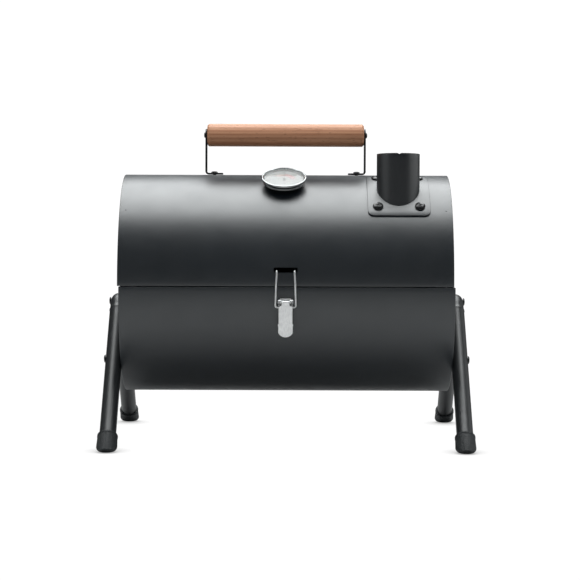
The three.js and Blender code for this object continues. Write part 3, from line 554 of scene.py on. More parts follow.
BARREL_PAINT = powder_paint("barrel_paint", (0.0042, 0.0078, 0.0115), 0.4, 1.9)
# The chimney pipe wears the barrel's satin black made darker: painted shade on the pipe.
PIPE_PAINT_SHADED = powder_paint("chimney_paint_painted_shade", (0.003, 0.0052, 0.0074), 0.38, 1.9)
LEG_PAINT = powder_paint("leg_paint", (0.006, 0.0075, 0.009), 0.42, 1.65)
RUBBER = moulded_rubber("foot_rubber", (0.009, 0.0105, 0.0115))
SCREW_BLACK = gloss_black("black_fasteners", (0.006, 0.0065, 0.007), 0.2)
BRACKET_BLACK = powder_paint("bracket_paint", (0.005, 0.0058, 0.0064), 0.42, 1.45)
BEECH = beech_wood("handle_wood")
ZINC = plated_steel("zinc_plate", (0.99, 0.99, 0.985), 0.38, (900, 900, 60))
PIN_ZINC = plated_steel("pin_zinc", (0.78, 0.79, 0.8), 0.27, (60, 900, 900))
STAINLESS = plated_steel("thermometer_steel", (0.4, 0.41, 0.41), 0.2, (500, 500, 500), 0.1)
FACE_WHITE = printed_face("dial_face", (0.29, 0.29, 0.285))
MARK_BLACK = printed_face("dial_marks", (0.03, 0.03, 0.032))
ZONE_GREY = printed_face("dial_zone_low", (0.29, 0.3, 0.3))
ZONE_ORANGE = printed_face("dial_zone_middle", (0.38, 0.27, 0.25))
ZONE_RED = printed_face("dial_zone_high", (0.36, 0.16, 0.16))
NEEDLE_PAINT = gloss_black("dial_needle", (0.025, 0.008, 0.008), 0.35)
CRYSTAL = dial_crystal("dial_glass")
CHROME = plated_steel("grate_chrome", (0.66, 0.66, 0.67), 0.2, (300, 300, 300), 0.15)
TRAY_STEEL = plated_steel("tray_steel", (0.36, 0.365, 0.37), 0.42, (20, 700, 700), 0.3)


# ---------------------------------------------------------------- barrel

def half_shell(x0, x1, start, end):
    """A half barrel between two angles from +Y, with rounded folded hems along its straight edges."""
    ease = 0.3 * MM / BARREL_RADIUS
    hem_angle = HEM_HEIGHT / BARREL_RADIUS
    inner_start, inner_end = start + hem_angle, end - hem_angle
    middle_radius = BARREL_RADIUS - SHEET / 2
    turns = [pi * k / 8 for k in range(9)]

    def section(x, hem, rim):
        """Points of the skin at one place along X. hem is 1 where the edge is folded double; rim is
        how much the sheet is rounded away at its end."""
        thick = SHEET * (1 + hem)
        half = thick / 2
        lead = half / BARREL_RADIUS
        centre = BARREL_RADIUS - half
        outer_start, outer_end = start + lead, end - lead
        polar = [(BARREL_RADIUS, outer_start + (outer_end - outer_start) * i / ARC_STEPS)
                 for i in range(ARC_STEPS + 1)]
        polar += [(centre + half * cos(t), outer_end + lead * sin(t)) for t in turns[1:]]
        polar.append((BARREL_RADIUS - thick, inner_end + ease))
        polar += [(INNER_RADIUS, inner_end + (inner_start - inner_end) * i / ARC_STEPS)
                  for i in range(ARC_STEPS + 1)]
        polar.append((BARREL_RADIUS - thick, inner_start - ease))
        polar += [(centre + half * cos(t), outer_start - lead * sin(t)) for t in turns[-2::-1]]
        points = []
        for radius, angle in polar:
            radius = middle_radius + (radius - middle_radius) * (1 - rim)
            points.append((x, radius * cos(angle), AXIS_Z + radius * sin(angle)))
        return points

    hem0, hem1 = x0 + HEM_INSET, x1 - HEM_INSET
    rims = [(0.0, 0.75), (0.12 * MM, 0.35), (0.35 * MM, 0.1), (0.6 * MM, 0.0)]
    stations = [(x0 + depth, 0, rim) for depth, rim in rims]
    stations += [(hem0, 0, 0), (hem0 + HEM_FOLD, 1, 0), (hem1 - HEM_FOLD, 1, 0), (hem1, 0, 0)]
    stations += [(x1 - depth, 0, rim) for depth, rim in reversed(rims)]
    return loft([section(*station) for station in stations])


def weld_dimple(lean, x):
    """A ball that cuts the shallow round mark of a spot weld."""
    ball = (WELD_RADIUS ** 2 + WELD_DEPTH ** 2) / (2 * WELD_DEPTH)
    steps = 24
    turns = [pi * k / steps for k in range(1, steps)]
    profile = [(0, -ball), *[(ball * sin(t), -ball * cos(t)) for t in turns], (0, ball)]
    lift = Matrix.Translation((0, 0, BARREL_RADIUS - WELD_DEPTH + ball))
    return placed(revolve(profile, 32), lift, on_barrel(lean, x))


def split_angles(node):
    """Where a half barrel's two edges lie, as angles from +Y about the barrel axis."""
    low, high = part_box(node)
    edge = low.z if low.z > AXIS_Z else high.z
    gap = asin(abs(edge - AXIS_Z) / BARREL_RADIUS)
    return gap, pi - gap


def lid_shell():
    low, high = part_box("lid_shell")
    shell = half_shell(low.x, high.x, *split_angles("lid_shell"))
    bail_low, bail_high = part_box("latch_bail")
    side_play = 0.9 * MM
    slot = rectangle(bail_low.x - side_play, bail_high.x + side_play, SLOT_LOW, SLOT_HIGH, SLOT_CORNER)
    tools = [placed(prism(slot, BARREL_RADIUS / 2, BARREL_RADIUS + FAR), TO_FRONT)]
    pipe = middle("chimney_pipe")
    bore = drill(PIPE_BORE, 0, BARREL_RADIUS + FAR)
    tools.append(placed(bore, Matrix.Translation((pipe.x, pipe.y, AXIS_Z))))
    for lean in (-WELD_LEAN, WELD_LEAN):
        tools.append(weld_dimple(lean, low.x + WELD_INSET))
        tools.append(weld_dimple(lean, high.x - WELD_INSET))
    add_piece("lid_shell_pressing", cut(shell, *tools), BARREL_PAINT, "lid", ["lid_shell"])


def lower_shell():
    low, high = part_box("lower_shell")
    start, end = split_angles("lower_shell")
    shell = half_shell(low.x, high.x, start + pi, end + pi)
    add_piece("lower_shell_pressing", shell, BARREL_PAINT, "base", ["lower_shell"])


def end_pressing(node, side):
    """A half-round end plate with a bent flange; side is 1 for the +X end and -1 for the other."""
    low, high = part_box(node)
    upper = low.z > AXIS_Z - MM
    lift = (low.z if upper else high.z) - AXIS_Z
    radius = high.y - abs(lift)
    face = high.x if side > 0 else low.x
    edge = 0.3 * MM
    profile = rounded([((0, 0), 0), ((radius, 0), PRESS_RADIUS), ((radius, -END_FLANGE), edge),
                       ((radius - SHEET, -END_FLANGE), edge),
                       ((radius - SHEET, -SHEET), PRESS_RADIUS - SHEET), ((0, -SHEET), 0)])
    plate = placed(revolve(profile, ARC_STEPS, pi), SIDEWAYS,
                   Matrix.Rotation(0 if upper else pi, 4, "X"), towards(side),
                   Matrix.Translation((face, 0, AXIS_Z + lift)))
    if not upper:
        vents = [(k - (VENT_COUNT - 1) / 2) * VENT_PITCH for k in range(VENT_COUNT)]
        plate = cut(plate, *[cross_drill(VENT_RADIUS, (face, y, AXIS_Z - VENT_DROP)) for y in vents])
    add_piece(f"{node}_pressing", plate, BARREL_PAINT, "lid" if upper else "base", [node],
              crease=40)


# ---------------------------------------------------------------- legs

def leg_path(node):
    """Centreline points of a leg frame in Y and Z, its tube's radius, and the height where its two
    straight runs would meet."""
    low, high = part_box(node)
    radius = (high.x - low.x) / 2
    centre = high.z - radius - LEG_BEND_RADIUS
    sharp = centre + LEG_BEND_RADIUS / sin(LEG_SLOPE)
    reach = (sharp - LEG_END_HEIGHT) * tan(LEG_SLOPE)
    steps = 28
    points = [(-reach, LEG_END_HEIGHT)]
    for i in range(steps + 1):
        angle = LEG_SLOPE + (pi - 2 * LEG_SLOPE) * i / steps
        points.append((-LEG_BEND_RADIUS * cos(angle), centre + LEG_BEND_RADIUS * sin(angle)))
    points.append((reach, LEG_END_HEIGHT))
    return points, radius, sharp


def leg_frame(node):
    """A bent tube, a touch slimmer round its bend, with the bender's ridge at each end of it."""
    points, radius, _ = leg_path(node)
    x = middle(node).x
    start, *bend, finish = [Vector((x, y, z)) for y, z in points]
    slim = radius - 0.3 * MM
    ridge = [(2 * MM, slim), (5.5 * MM, slim), (6.8 * MM, radius + 0.3 * MM), (8 * MM, radius + 0.45 * MM),
             (9.4 * MM, radius + 0.1 * MM), (11 * MM, radius)]
    down = (start - bend[0]).normalized()
    out = (finish - bend[-1]).normalized()
    near = [(bend[0] + down * along, size) for along, size in reversed(ridge)]
    far = [(bend[-1] + out * along, size) for along, size in ridge]
    stations = [(start, radius), (start - down * MM, radius), *near, *[(point, slim) for point in bend], *far,
                (finish - out * MM, radius), (finish, radius)]
    path, sizes = zip(*stations)
    add_piece(f"{node}_tube", sweep(path, sizes, 48), LEG_PAINT, "base", [node])


def sole_mould(x, y, end, sole):
    """A tool that keeps what lies above the floor and turns the sole up into the sides."""
    worn = 6 * MM
    toe, heel = -12.2 * MM, 17.1 * MM
    clear = 60 * MM
    steps = 8
    rings = []
    for k in range(steps + 1):
        turn = pi / 2 * k / steps
        height = worn * (1 - cos(turn))
        inset = worn * (1 - sin(turn))
        front, back = toe + inset, heel + height - inset * 0.8
        rings.append((height, sole + 0.1 * MM - inset, (front + back) / 2, (back - front) / 2))
    rings += [(height, clear, 0, 1.5 * clear) for height in (worn + 0.5 * MM, clear)]
    turns = [2 * pi * k / 72 for k in range(72)]
    return loft([[(x + half_x * cos(t), y - end * (shift + half_y * sin(t)), z) for t in turns]
                 for z, half_x, shift, half_y in rings])


def foot(node, leg):
    """A rubber cap, ribbed round its mouth and worn round at the sole."""
    _, tube, sharp = leg_path(leg)
    centre = middle(node)
    end = -1 if centre.y < 0 else 1
    reach = end * sharp * tan(LEG_SLOPE)
    top, sole, length, overrun = 11.3, 11.9, 23.5, 5
    mouth = tube / MM + 0.1
    profile = arcs([
        (0, -overrun, 0), (sole - 0.1, -overrun, 0.6), (sole, length * 0.3, 3),
        (top + 0.1, length - 3.2, 0.5), (top + 0.45, length - 2.6, 0.4),
        (top + 0.45, length - 0.4, 0.7), (mouth, length, 0.3),
        (mouth, length - 4, 0), (0, length - 4, 0)])
    cap = placed(revolve(profile, 72), Matrix.Rotation(end * LEG_SLOPE, 4, "X"),
                 Matrix.Translation((centre.x, reach, 0)))
    cap = combine("INTERSECT", cap, sole_mould(centre.x, reach, end, sole * MM))
    add_piece(f"{node}_cap", cap, RUBBER, "base", [node])


# ---------------------------------------------------------------- fasteners

def screw(head_radius, head_height, shank_radius, grip, recess, nut_radius=0.0, nut_height=0.0, tail=0.0):
    """A domed cross-slotted screw along +Z whose head sits on z = 0, with its nut run on below."""
    length = grip + nut_height + tail
    steps = 8
    turns = [pi / 2 * k / steps for k in range(steps)]
    dome = [(head_radius * cos(t), head_height * (0.28 + 0.72 * sin(t))) for t in turns]
    tip, edge = 0.5 * MM, 0.15 * MM
    body = revolve([(0, -length), (shank_radius - tip, -length), (shank_radius, -length + tip),
                    (shank_radius, 0), (head_radius - edge, 0), (head_radius, edge), *dome,
                    (0, head_height)], 40)
    arm, half = head_radius * 0.52, head_radius * 0.12
    cross = [(arm, -half), (arm, half), (half, half), (half, arm), (-half, arm), (-half, half),
             (-arm, half), (-arm, -half), (-half, -half), (-half, -arm), (half, -arm), (half, -half)]
    narrow = [(x * 0.45, y * 0.6, head_height - recess) for x, y in cross]
    wide = [(x * 1.15, y * 1.15, head_height + MM) for x, y in cross]
    body = cut(body, loft([narrow, wide]))
    if nut_height:
        body = weld(body, prism(hexagon(nut_radius), -grip - nut_height, -grip, 0.4 * MM))
    return body


def add_screw(node, body, on, *matrices):
    add_piece(f"{node}_steel", placed(body, *matrices), SCREW_BLACK, on, [node])


def leg_bolt(node, side):
    low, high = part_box(node)
    centre = (low + high) / 2
    head, nut, tail = 1.9 * MM, 4.5 * MM, 2.5 * MM
    outside = high.x if side > 0 else low.x
    grip = high.x - low.x - head - nut - tail
    bolt = screw(4.6 * MM, head, 3 * MM, grip, 1.2 * MM, 5.6 * MM, nut, tail)
    add_screw(node, bolt, "base", ALONG_X, towards(side),
              Matrix.Translation((outside - side * head, centre.y, centre.z)))


def chimney_screw(node, twist):
    seat = BARREL_RADIUS + FLANGE_SHEET + 2 * GAP
    pipe_lean = degrees(asin(-middle("chimney_pipe").y / BARREL_RADIUS))
    lean = pipe_lean + (CHIMNEY_SCREW_LEAN if "front" in node else -CHIMNEY_SCREW_LEAN)
    body = screw(6 * MM, 2.7 * MM, 2.5 * MM, seat - INNER_RADIUS + GAP, 1.9 * MM, 5 * MM, 3.5 * MM, 2.5 * MM)
    add_screw(node, body, "lid", Matrix.Rotation(radians(twist), 4, "Z"),
              Matrix.Translation((0, 0, seat)), on_barrel(lean, middle(node).x))


def handle_foot_screw(node):
    centre = middle(node)
    head = 1.9 * MM
    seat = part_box(node)[1].z - head
    grip = seat - AXIS_Z - INNER_RADIUS + GAP
    body = screw(3.9 * MM, head, 2 * MM, grip, 1.3 * MM, 4.2 * MM, 3 * MM, 2.5 * MM)
    add_screw(node, body, "lid", Matrix.Rotation(0.5, 4, "Z"),
              Matrix.Translation((centre.x, centre.y, seat)))


def handle_end_screw(node, side):
    low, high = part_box(node)
    centre = (low + high) / 2
    head = 1.71 * MM
    outside = high.x if side > 0 else low.x
    add_screw(node, screw(3.3 * MM, head, 2 * MM, 22 * MM, 1.1 * MM), "lid", ALONG_X, towards(side),
              Matrix.Translation((outside - side * head, centre.y, centre.z)))


# ---------------------------------------------------------------- hinges

def hinge_leaf(node, upper):
    """One leaf of a butt hinge, bent to the barrel and welded on, with its knuckles."""
    low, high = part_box(node)
    x = (low.x + high.x) / 2
    pin = joint("lid_hinge")["pos_m"]
    radius = BARREL_RADIUS + GAP
    thick, segment, pitch = 1.8 * MM, 14 * MM, 14.5 * MM
    sign = 1 if upper else -1

    def wrapped(x0, x1, start, end, corner, edge):
        """A plate between two angles, in degrees away from the split line."""
        s0, s1 = sorted(-pi / 2 * radius + sign * radians(a) * radius for a in (start, end))
        return round_the_barrel(prism(rectangle(x0, x1, s0, s1, corner), 0, thick, edge), radius, 110, 2.5)

    leaf = wrapped(low.x, high.x, 2.4, 12.5, 0.4 * MM, 0.35 * MM)
    bore, knuckle, half = 1.9, 3.6, segment / MM / 2
    sleeve = arcs([(bore, -half, 0.2), (knuckle, -half, 0.4), (knuckle, half, 0.4), (bore, half, 0.2)],
                  steps=3, closed=True)
    parts = []
    for place in ((-1, 1) if upper else (0,)):
        centre = x + place * pitch
        parts.append(wrapped(centre - segment / 2, centre + segment / 2, 0.5, 3.2, 0.0, 0.0))
        parts.append(placed(revolve(sleeve, 40, ring=True), ALONG_X,
                            Matrix.Translation((centre, pin[1], pin[2]))))
    add_piece(f"{node}_steel", weld(leaf, *parts), BARREL_PAINT, "lid" if upper else "base",
              [node])


def hinge_pin(node):
    low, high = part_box(node)
    centre = middle(node)
    shaft, head = 1.6 * MM, 2.8 * MM
    neck = high.x - 1.2 * MM
    profile = rounded([((0, low.x), 0), ((shaft, low.x), 0.5 * MM), ((shaft, neck), 0),
                       ((head, neck), 0.2 * MM), ((head, high.x), 0.6 * MM), ((0, high.x), 0)])
    pin = placed(revolve(profile, 40), ALONG_X, Matrix.Translation((0, centre.y, centre.z)))
    add_piece(f"{node}_rod", pin, PIN_ZINC, "base", [node])


# ---------------------------------------------------------------- chimney

def chimney_pipe():
    """A rolled pipe cut to sit on the flange, with a small notch in its rim at the front seam."""
    low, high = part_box("chimney_pipe")
    centre = (low + high) / 2
    outer = (high.x - low.x) / 2
    inner = outer - SHEET
    seat = BARREL_RADIUS + FLANGE_SHEET + 2 * GAP
    lip = 0.45 * MM
    plain = high.z - 6 * MM                 # below this the pipe is plain
    sides = 144
    columns = []
    bm = bmesh.new()
    for i in range(sides):
        angle = 2 * pi * i / sides
        away = abs(atan2(sin(angle + pi / 2), cos(angle + pi / 2))) * outer
        notch = CHIMNEY_NOTCH_DEPTH * max(0.0, 1 - away / (CHIMNEY_NOTCH_WIDTH / 2))
        column = []
        for radius, height in ((outer, None), (outer, plain), (outer, high.z - lip),
                               (outer - lip * 0.3, high.z - lip * 0.3), (outer - lip, high.z),
                               (inner + lip * 0.5, high.z), (inner, high.z - lip), (inner, plain),
                               (inner, None)):
            x, y = centre.x + radius * cos(angle), centre.y + radius * sin(angle)
            if height is None:
                z = AXIS_Z + sqrt(seat ** 2 - y ** 2)
            else:
                drop = notch if height > plain else 0.0
                z = height - drop - (y - low.y) * CHIMNEY_RIM_SLOPE
            column.append(bm.verts.new((x, y, z)))
        columns.append(column)
    for i in range(sides):
        here, there = columns[i], columns[(i + 1) % sides]
        for j in range(len(here)):
            k = (j + 1) % len(here)
            bm.faces.new((here[j], there[j], there[k], here[k]))
    bmesh.ops.recalc_face_normals(bm, faces=bm.faces)
    add_piece("chimney_pipe_steel", bm, PIPE_PAINT_SHADED, "lid", ["chimney_pipe"])


def chimney_flange():
    low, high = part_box("chimney_flange")
    pipe = middle("chimney_pipe")
    radius = BARREL_RADIUS + GAP
    centre_s = asin(-pipe.y / BARREL_RADIUS) * radius
    half_width = (high.x - low.x) / 2
    half_depth = 44.6 * MM
    outline = rectangle(pipe.x - half_width, pipe.x + half_width, centre_s - half_depth,
                        centre_s + half_depth, 7 * MM, 8)
    plate = round_the_barrel(prism(outline, 0, FLANGE_SHEET, 0.3 * MM), radius, 80)
    bore = placed(drill(PIPE_BORE, 0, BARREL_RADIUS + FAR, 96), Matrix.Translation((pipe.x, pipe.y, AXIS_Z)))
    add_piece("chimney_flange_plate", cut(plate, bore), BARREL_PAINT, "lid",
              ["chimney_flange"])


# ---------------------------------------------------------------- handle

def handle_grip():
    low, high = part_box("handle_grip")
    radius = (high.z - low.z) / 2
    half = (high.x - low.x) / 2
    face, shoulder = radius - 2.2 * MM, half - 2 * MM
    profile = rounded([((0, -half), 0), ((face, -half), 0.8 * MM), ((radius, -shoulder), 1.4 * MM),
                       ((radius, shoulder), 1.4 * MM), ((face, half), 0.8 * MM), ((0, half), 0)])
    grip = placed(revolve(profile, 96), ALONG_X, Matrix.Translation((low + high) / 2))
    add_piece("handle_grip_dowel", grip, BEECH, "lid", ["handle_grip"])


def handle_bracket(node, side):
    """A strap bent to an L: the foot points inwards along the barrel, the top is round."""
    low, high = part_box(node)
    strap, bend, corner = 2 * MM, 4 * MM, 1.5 * MM
    half = (high.y - low.y) / 2
    outer, foot_end = (high.x, low.x) if side > 0 else (low.x, high.x)
    foot_length = abs(outer - foot_end) - bend
    arc = pi / 2 * bend
    total = foot_length + arc + high.z - low.z - bend
    top = [(half * cos(a), total - half + half * sin(a)) for a in
           [pi * k / 24 for k in range(25)]]
    outline = [(-half + corner, 0), (half - corner, 0), (half, corner), *top, (-half, corner)]

    def place(across, s, t):
        if s <= foot_length:
            reach, height = s, t
        elif s <= foot_length + arc:
            angle = (s - foot_length) / bend
            reach = foot_length + (bend - t) * sin(angle)
            height = bend - (bend - t) * cos(angle)
        else:
            reach, height = foot_length + bend - t, bend + s - foot_length - arc
        return Vector((foot_end + side * reach, across, low.z + height))

    lines = [foot_length + arc * k / 10 for k in range(11)]
    strip = bent(prism(outline, 0, strap, 0.3 * MM), lines, place)
    add_piece(f"{node}_strap", strip, BRACKET_BLACK, "lid", [node])


# ---------------------------------------------------------------- thermometer

# Radii and heights in millimetres, the heights over the barrel's skin.
DIAL_BACK, DIAL_TOP, DIAL_WALL = 4.3, 11.5, 1.1
DISC_LEVEL, FACE_LEVEL = 7.5, 8.3
DISC_RADIUS, GLASS_RADIUS = 22.8, 23.9
PRINT_LOW, PRINT_HIGH = [BARREL_RADIUS + (FACE_LEVEL + rise) * MM for rise in (-0.02, 0.05)]
DIAL_SWEEP = 270                        # degrees from the first mark to the last
MAJOR_MARKS, MINOR_MARKS = 6, 5         # stretches of the scale, and stretches in each of them
DIAL_LEAN = 26                          # degrees forward of the top
ON_DIAL = on_barrel(DIAL_LEAN, joint("thermometer_needle_turn")["pos_m"][0])


def turned(stations, steps=ROUND_STEPS, sides=128, ring=False):
    """A body turned about the dial's axis from stations over the barrel's skin."""
    return revolve(arcs(stations, BARREL_RADIUS, steps, closed=ring), sides, ring=ring)


def dial_piece(name, bm, material, replaced=(), body="lid"):
    add_piece(name, placed(bm, ON_DIAL), material, body, replaced)


def thermometer_case():
    """A spun steel bowl with a bead at its back, whose rim is rolled over the glass."""
    hole, bead, case = 4.4, 24.3, 26.3
    seat, floor_level = GLASS_RADIUS + 0.3, DISC_LEVEL - 0.2
    bowl = turned([
        (hole, DIAL_BACK, 0.1), (bead - 0.6, DIAL_BACK, 0.3), (bead, DIAL_BACK + 0.3, 0.4),
        (bead, DIAL_BACK + 0.9, 0.3), (bead - 0.8, DIAL_BACK + 1.4, 0.4), (case - 1.3, DIAL_TOP - 2.8, 0.4),
        (case, DIAL_TOP - 2.1, 0.5), (case, DIAL_TOP, 1.0), (case - 1.3, DIAL_TOP, 0.3),
        (case - 2.6, DIAL_TOP - 0.75, 0.1), (seat, DIAL_TOP - 0.8, 0.05), (seat, DIAL_TOP - 2.4, 0.3),
        (DISC_RADIUS + 0.3, floor_level, 0.2), (hole, floor_level, 0.1)], 6, ring=True)
    dial_piece("thermometer_case_bowl", bowl, STAINLESS, ["thermometer_case"])


def thermometer_dial():
    disc = turned([(0, DISC_LEVEL, 0), (DISC_RADIUS, DISC_LEVEL, 0.1), (DISC_RADIUS, FACE_LEVEL, 0.1),
                   (0, FACE_LEVEL, 0)])
    dial_piece("thermometer_dial_disc", disc, FACE_WHITE, ["thermometer_dial"])


def dial_angle(share):
    """The angle, counter-clockwise from local +X, of a share of the scale; the open part faces the front."""
    return radians(90 + DIAL_SWEEP / 2 - DIAL_SWEEP * share)


def ring_patch(inner, outer, first, last):
    """A printed part of a ring between two shares of the scale."""
    steps = max(4, int(abs(last - first) * 120))
    angles = [dial_angle(first + (last - first) * k / steps) for k in range(steps + 1)]
    outline = [(outer * cos(a), outer * sin(a)) for a in angles]
    outline += [(inner * cos(a), inner * sin(a)) for a in reversed(angles)]
    return prism(outline, PRINT_LOW, PRINT_HIGH)


def numeral(text, angle):
    """Upright digits centred on a place of the dial."""
    radius = 16.4 * MM
    curve = bpy.data.curves.new("scratch", "FONT")
    curve.body = text
    curve.size = 3.3 * MM
    curve.align_x = "CENTER"
    curve.align_y = "CENTER"
    curve.extrude = (PRINT_HIGH - PRINT_LOW) / 2
    curve.resolution_u = 4
    obj = bpy.data.objects.new("scratch", curve)
    bpy.context.scene.collection.objects.link(obj)
    bm = bmesh.new()
    bm.from_mesh(obj.evaluated_get(bpy.context.evaluated_depsgraph_get()).to_mesh())
    bpy.data.objects.remove(obj)
    bpy.data.curves.remove(curve)
    bmesh.ops.remove_doubles(bm, verts=bm.verts, dist=1e-7)
    height = (PRINT_LOW + PRINT_HIGH) / 2
    return placed(bm, Matrix.Translation((radius * cos(angle), radius * sin(angle), height)))


def thermometer_print():
    """Generic scale: tinted bands, a ring line, ticks and plain numerals."""
    bands = [("low", 0.0, 0.3, ZONE_GREY), ("middle", 0.32, 0.5, ZONE_ORANGE), ("high", 0.52, 0.82, ZONE_RED)]
    for name, first, last, paint in bands:
        band = ring_patch(7.5 * MM, 13.6 * MM, first, last)
        dial_piece(f"thermometer_band_{name}", band, paint)
    parts = []
    marks = MAJOR_MARKS * MINOR_MARKS
    tick_end = 21.4 * MM
    for k in range(marks + 1):
        length, half = (2.6 * MM, 0.22 * MM) if k % MINOR_MARKS == 0 else (1.5 * MM, 0.12 * MM)
        tick = prism(rectangle(tick_end - length, tick_end, -half, half), PRINT_LOW, PRINT_HIGH)
        parts.append(placed(tick, Matrix.Rotation(dial_angle(k / marks), 4, "Z")))
    parts.append(ring_patch(21.6 * MM, 21.85 * MM, 0.0, 1.0))
    parts += [numeral(str(50 * (k + 1)), dial_angle(k / MAJOR_MARKS)) for k in range(MAJOR_MARKS + 1)]
    dial_piece("thermometer_scale", together(*parts), MARK_BLACK)


def thermometer_needle():
    """A thin pointer with a counterweight and a domed hub."""
    level = FACE_LEVEL + 0.3
    right = [(0.9, -5), (0.45, -1), (0.34, 12), (0.1, 18)]
    outline = [(x * MM, y * MM) for x, y in right] + [(-x * MM, y * MM) for x, y in reversed(right)]
    blade_low = BARREL_RADIUS + level * MM
    blade = prism(outline, blade_low, blade_low + 0.5 * MM, 0.06 * MM, 2)
    hub_low, hub_high, hub = level - 0.05, level + 1, 1.6
    boss = turned([(0, hub_low, 0), (hub, hub_low, 0.1), (hub, hub_high, 0.5), (0, hub_high, 0)], sides=48)
    dial_piece("thermometer_pointer", weld(blade, boss), NEEDLE_PAINT, ["thermometer_needle"],
               "needle")


def thermometer_glass():
    """A glass with a flat back and a slightly domed front."""
    low = DIAL_TOP - 1.6
    edge, thick, steps = 0.7, 1.2, 12
    stations = [(0, low, 0), (GLASS_RADIUS - 0.1, low, 0), (GLASS_RADIUS, low + 0.1, 0)]
    for k in range(steps + 1):
        share = k / steps
        height = low + edge + (thick - edge) * (1 - (1 - share) ** 2)
        stations.append((GLASS_RADIUS * (1 - share), height, 0))
    dial_piece("thermometer_crystal", turned(stations), CRYSTAL, ["thermometer_glass"])


def thermometer_stem():
    """Threaded stem with its collar, and the probe inside the lid."""
    collar_low, collar_high, wall = 0.3, DIAL_BACK - 0.3, DIAL_BACK + DIAL_WALL
    probe, thread, crest, collar, lead = 2.2, 3.75, 4, 6, 1.25
    stations = [(0, -62, 0), (probe, -62, 1.2), (probe, -13, 0), (thread, -12.4, 0)]
    height = -12
    while height + lead < collar_low:
        stations += [(thread, height, 0), (crest, height + lead * 0.45, 0), (thread, height + lead * 0.9, 0)]
        height += lead
    stations += [(crest, collar_low, 0), (collar, collar_low, 0.3), (collar, collar_high, 0.3),
                 (crest, collar_high, 0), (crest, wall, 0.2), (0, wall, 0)]
    dial_piece("thermometer_probe", turned(stations, 3, 48), STAINLESS,
               ["thermometer_stem"])


def thermometer_nut():
    top = INNER_RADIUS - GAP - 0.2 * MM
    blank = prism(hexagon(8 * MM), top - 4.5 * MM, top, 0.6 * MM)
    nut = cut(blank, drill(4.3 * MM, top - FAR, top + FAR))
    dial_piece("thermometer_lock_nut", nut, STAINLESS, ["thermometer_nut"])


# ---------------------------------------------------------------- latch

FULCRUM = Vector(joint("latch_lever_pivot")["pos_m"])
BAIL_PIVOT = Vector(joint("latch_bail_pivot")["pos_m"])
LATCH_X = FULCRUM.x
LATCH_TILT = Matrix.Rotation(radians(14), 4, "X")      # the closed lever leans in at its tip
PLATE_HALF = 7.9 * MM
GAUGE = 1.2 * MM
EAR_HALF = 6.2 * MM
WIRE = 1.1 * MM
PIN_HOLE = 1.8 * MM
STEEL_CREASE = 28


def cheek(outline, x, side, edge):
    """A plate GAUGE thick, drawn in Y and Z, whose outer face lies at a distance x to one side."""
    low, high = sorted((LATCH_X + side * (x - GAUGE), LATCH_X + side * x))
    return placed(prism(outline, low, high, edge), SIDEWAYS)


def circle_points(radius, first, last):
    """Points on a circle every 15 degrees."""
    angles = [radians(a) for a in range(first, last + 1, 15)]
    return [(radius * cos(a), radius * sin(a)) for a in angles]


def latch_lever():
    """A pressed lever: a face plate with a round tip, and two cheeks that carry the pins."""
    length, tip, out, ear = 40.5, 9, 4 * MM, 26
    half, waist, tongue = PLATE_HALF / MM, PLATE_HALF / MM + 0.3, 4.4
    wing = half + 0.75
    drop = sqrt(tip ** 2 - waist ** 2)
    centre = tip - length
    low_angle = atan2(-drop, waist)
    right = arcs([
        (tongue - 0.6, 1.9, 0), (tongue, 1.3, 0.3), (tongue, -2.5, 0.6), (half, -4.3, 0.8),
        (half, -ear + 1.6, 0.5), (wing, -ear + 0.9, 0.5), (wing, -ear - 0.9, 0.5), (waist, -ear - 1.8, 0.5),
        (waist, centre - drop, 0)], steps=4)
    left = [(-p.x, p.y) for p in reversed(right)]
    turns = [low_angle - (pi + 2 * low_angle) * k / 20 for k in range(21)]
    bottom = [(tip * cos(a) * MM, (centre + tip * sin(a)) * MM) for a in turns]
    plate = placed(prism(right + bottom + left, 0, GAUGE, 0.35 * MM), TO_FRONT,
                   Matrix.Translation((LATCH_X, -out, 0)))
    face = -out - GAUGE * 0.45              # the cheeks run a little way into the face plate
    outline = [(face, centre * MM), (-2.6 * MM, centre * MM), (-2.2 * MM, -16 * MM), (2 * MM, -9.2 * MM),
               *circle_points(3 * MM, -30, 150), (face, -4.6 * MM)]
    flanks = [cheek(outline, PLATE_HALF, side, 0.25 * MM) for side in (-1, 1)]
    bail_hole = LATCH_TILT.inverted() @ (BAIL_PIVOT - FULCRUM)
    lever = cut(weld(plate, *flanks), cross_drill(PIN_HOLE, (LATCH_X, 0, 0)),
                cross_drill(WIRE + GAP, (LATCH_X, bail_hole.y, bail_hole.z)))
    lever = placed(lever, LATCH_TILT, Matrix.Translation((0, FULCRUM.y, FULCRUM.z)))
    add_piece("latch_lever_pressing", lever, ZINC, "lever", ["latch_lever"], STEEL_CREASE)


def latch_bail():
    """A wire through both cheeks, up each side, and hooked over the lower lip of the slot."""
    skin = -BARREL_RADIUS
    side = [((11.6 * MM, BAIL_PIVOT.y, BAIL_PIVOT.z), 2.2 * MM),
            ((10.9 * MM, skin - 7 * MM, AXIS_Z + 4 * MM), 2.5 * MM),
            ((10.2 * MM, skin - 1.6 * MM, SLOT_LOW - 1.5 * MM), 2.0 * MM),
            ((10.2 * MM, skin + 0.1 * MM, SLOT_LOW + 1.9 * MM), 1.4 * MM),
            ((10.2 * MM, skin + 5.6 * MM, SLOT_LOW + 1.45 * MM), 0)]
    corners = [((LATCH_X - x, y, z), r) for (x, y, z), r in reversed(side)]
    corners += [((LATCH_X + x, y, z), r) for (x, y, z), r in side]
    add_piece("latch_bail_wire", wire(rounded(corners, 8), WIRE, 20), ZINC, "bail",
              ["latch_bail"])


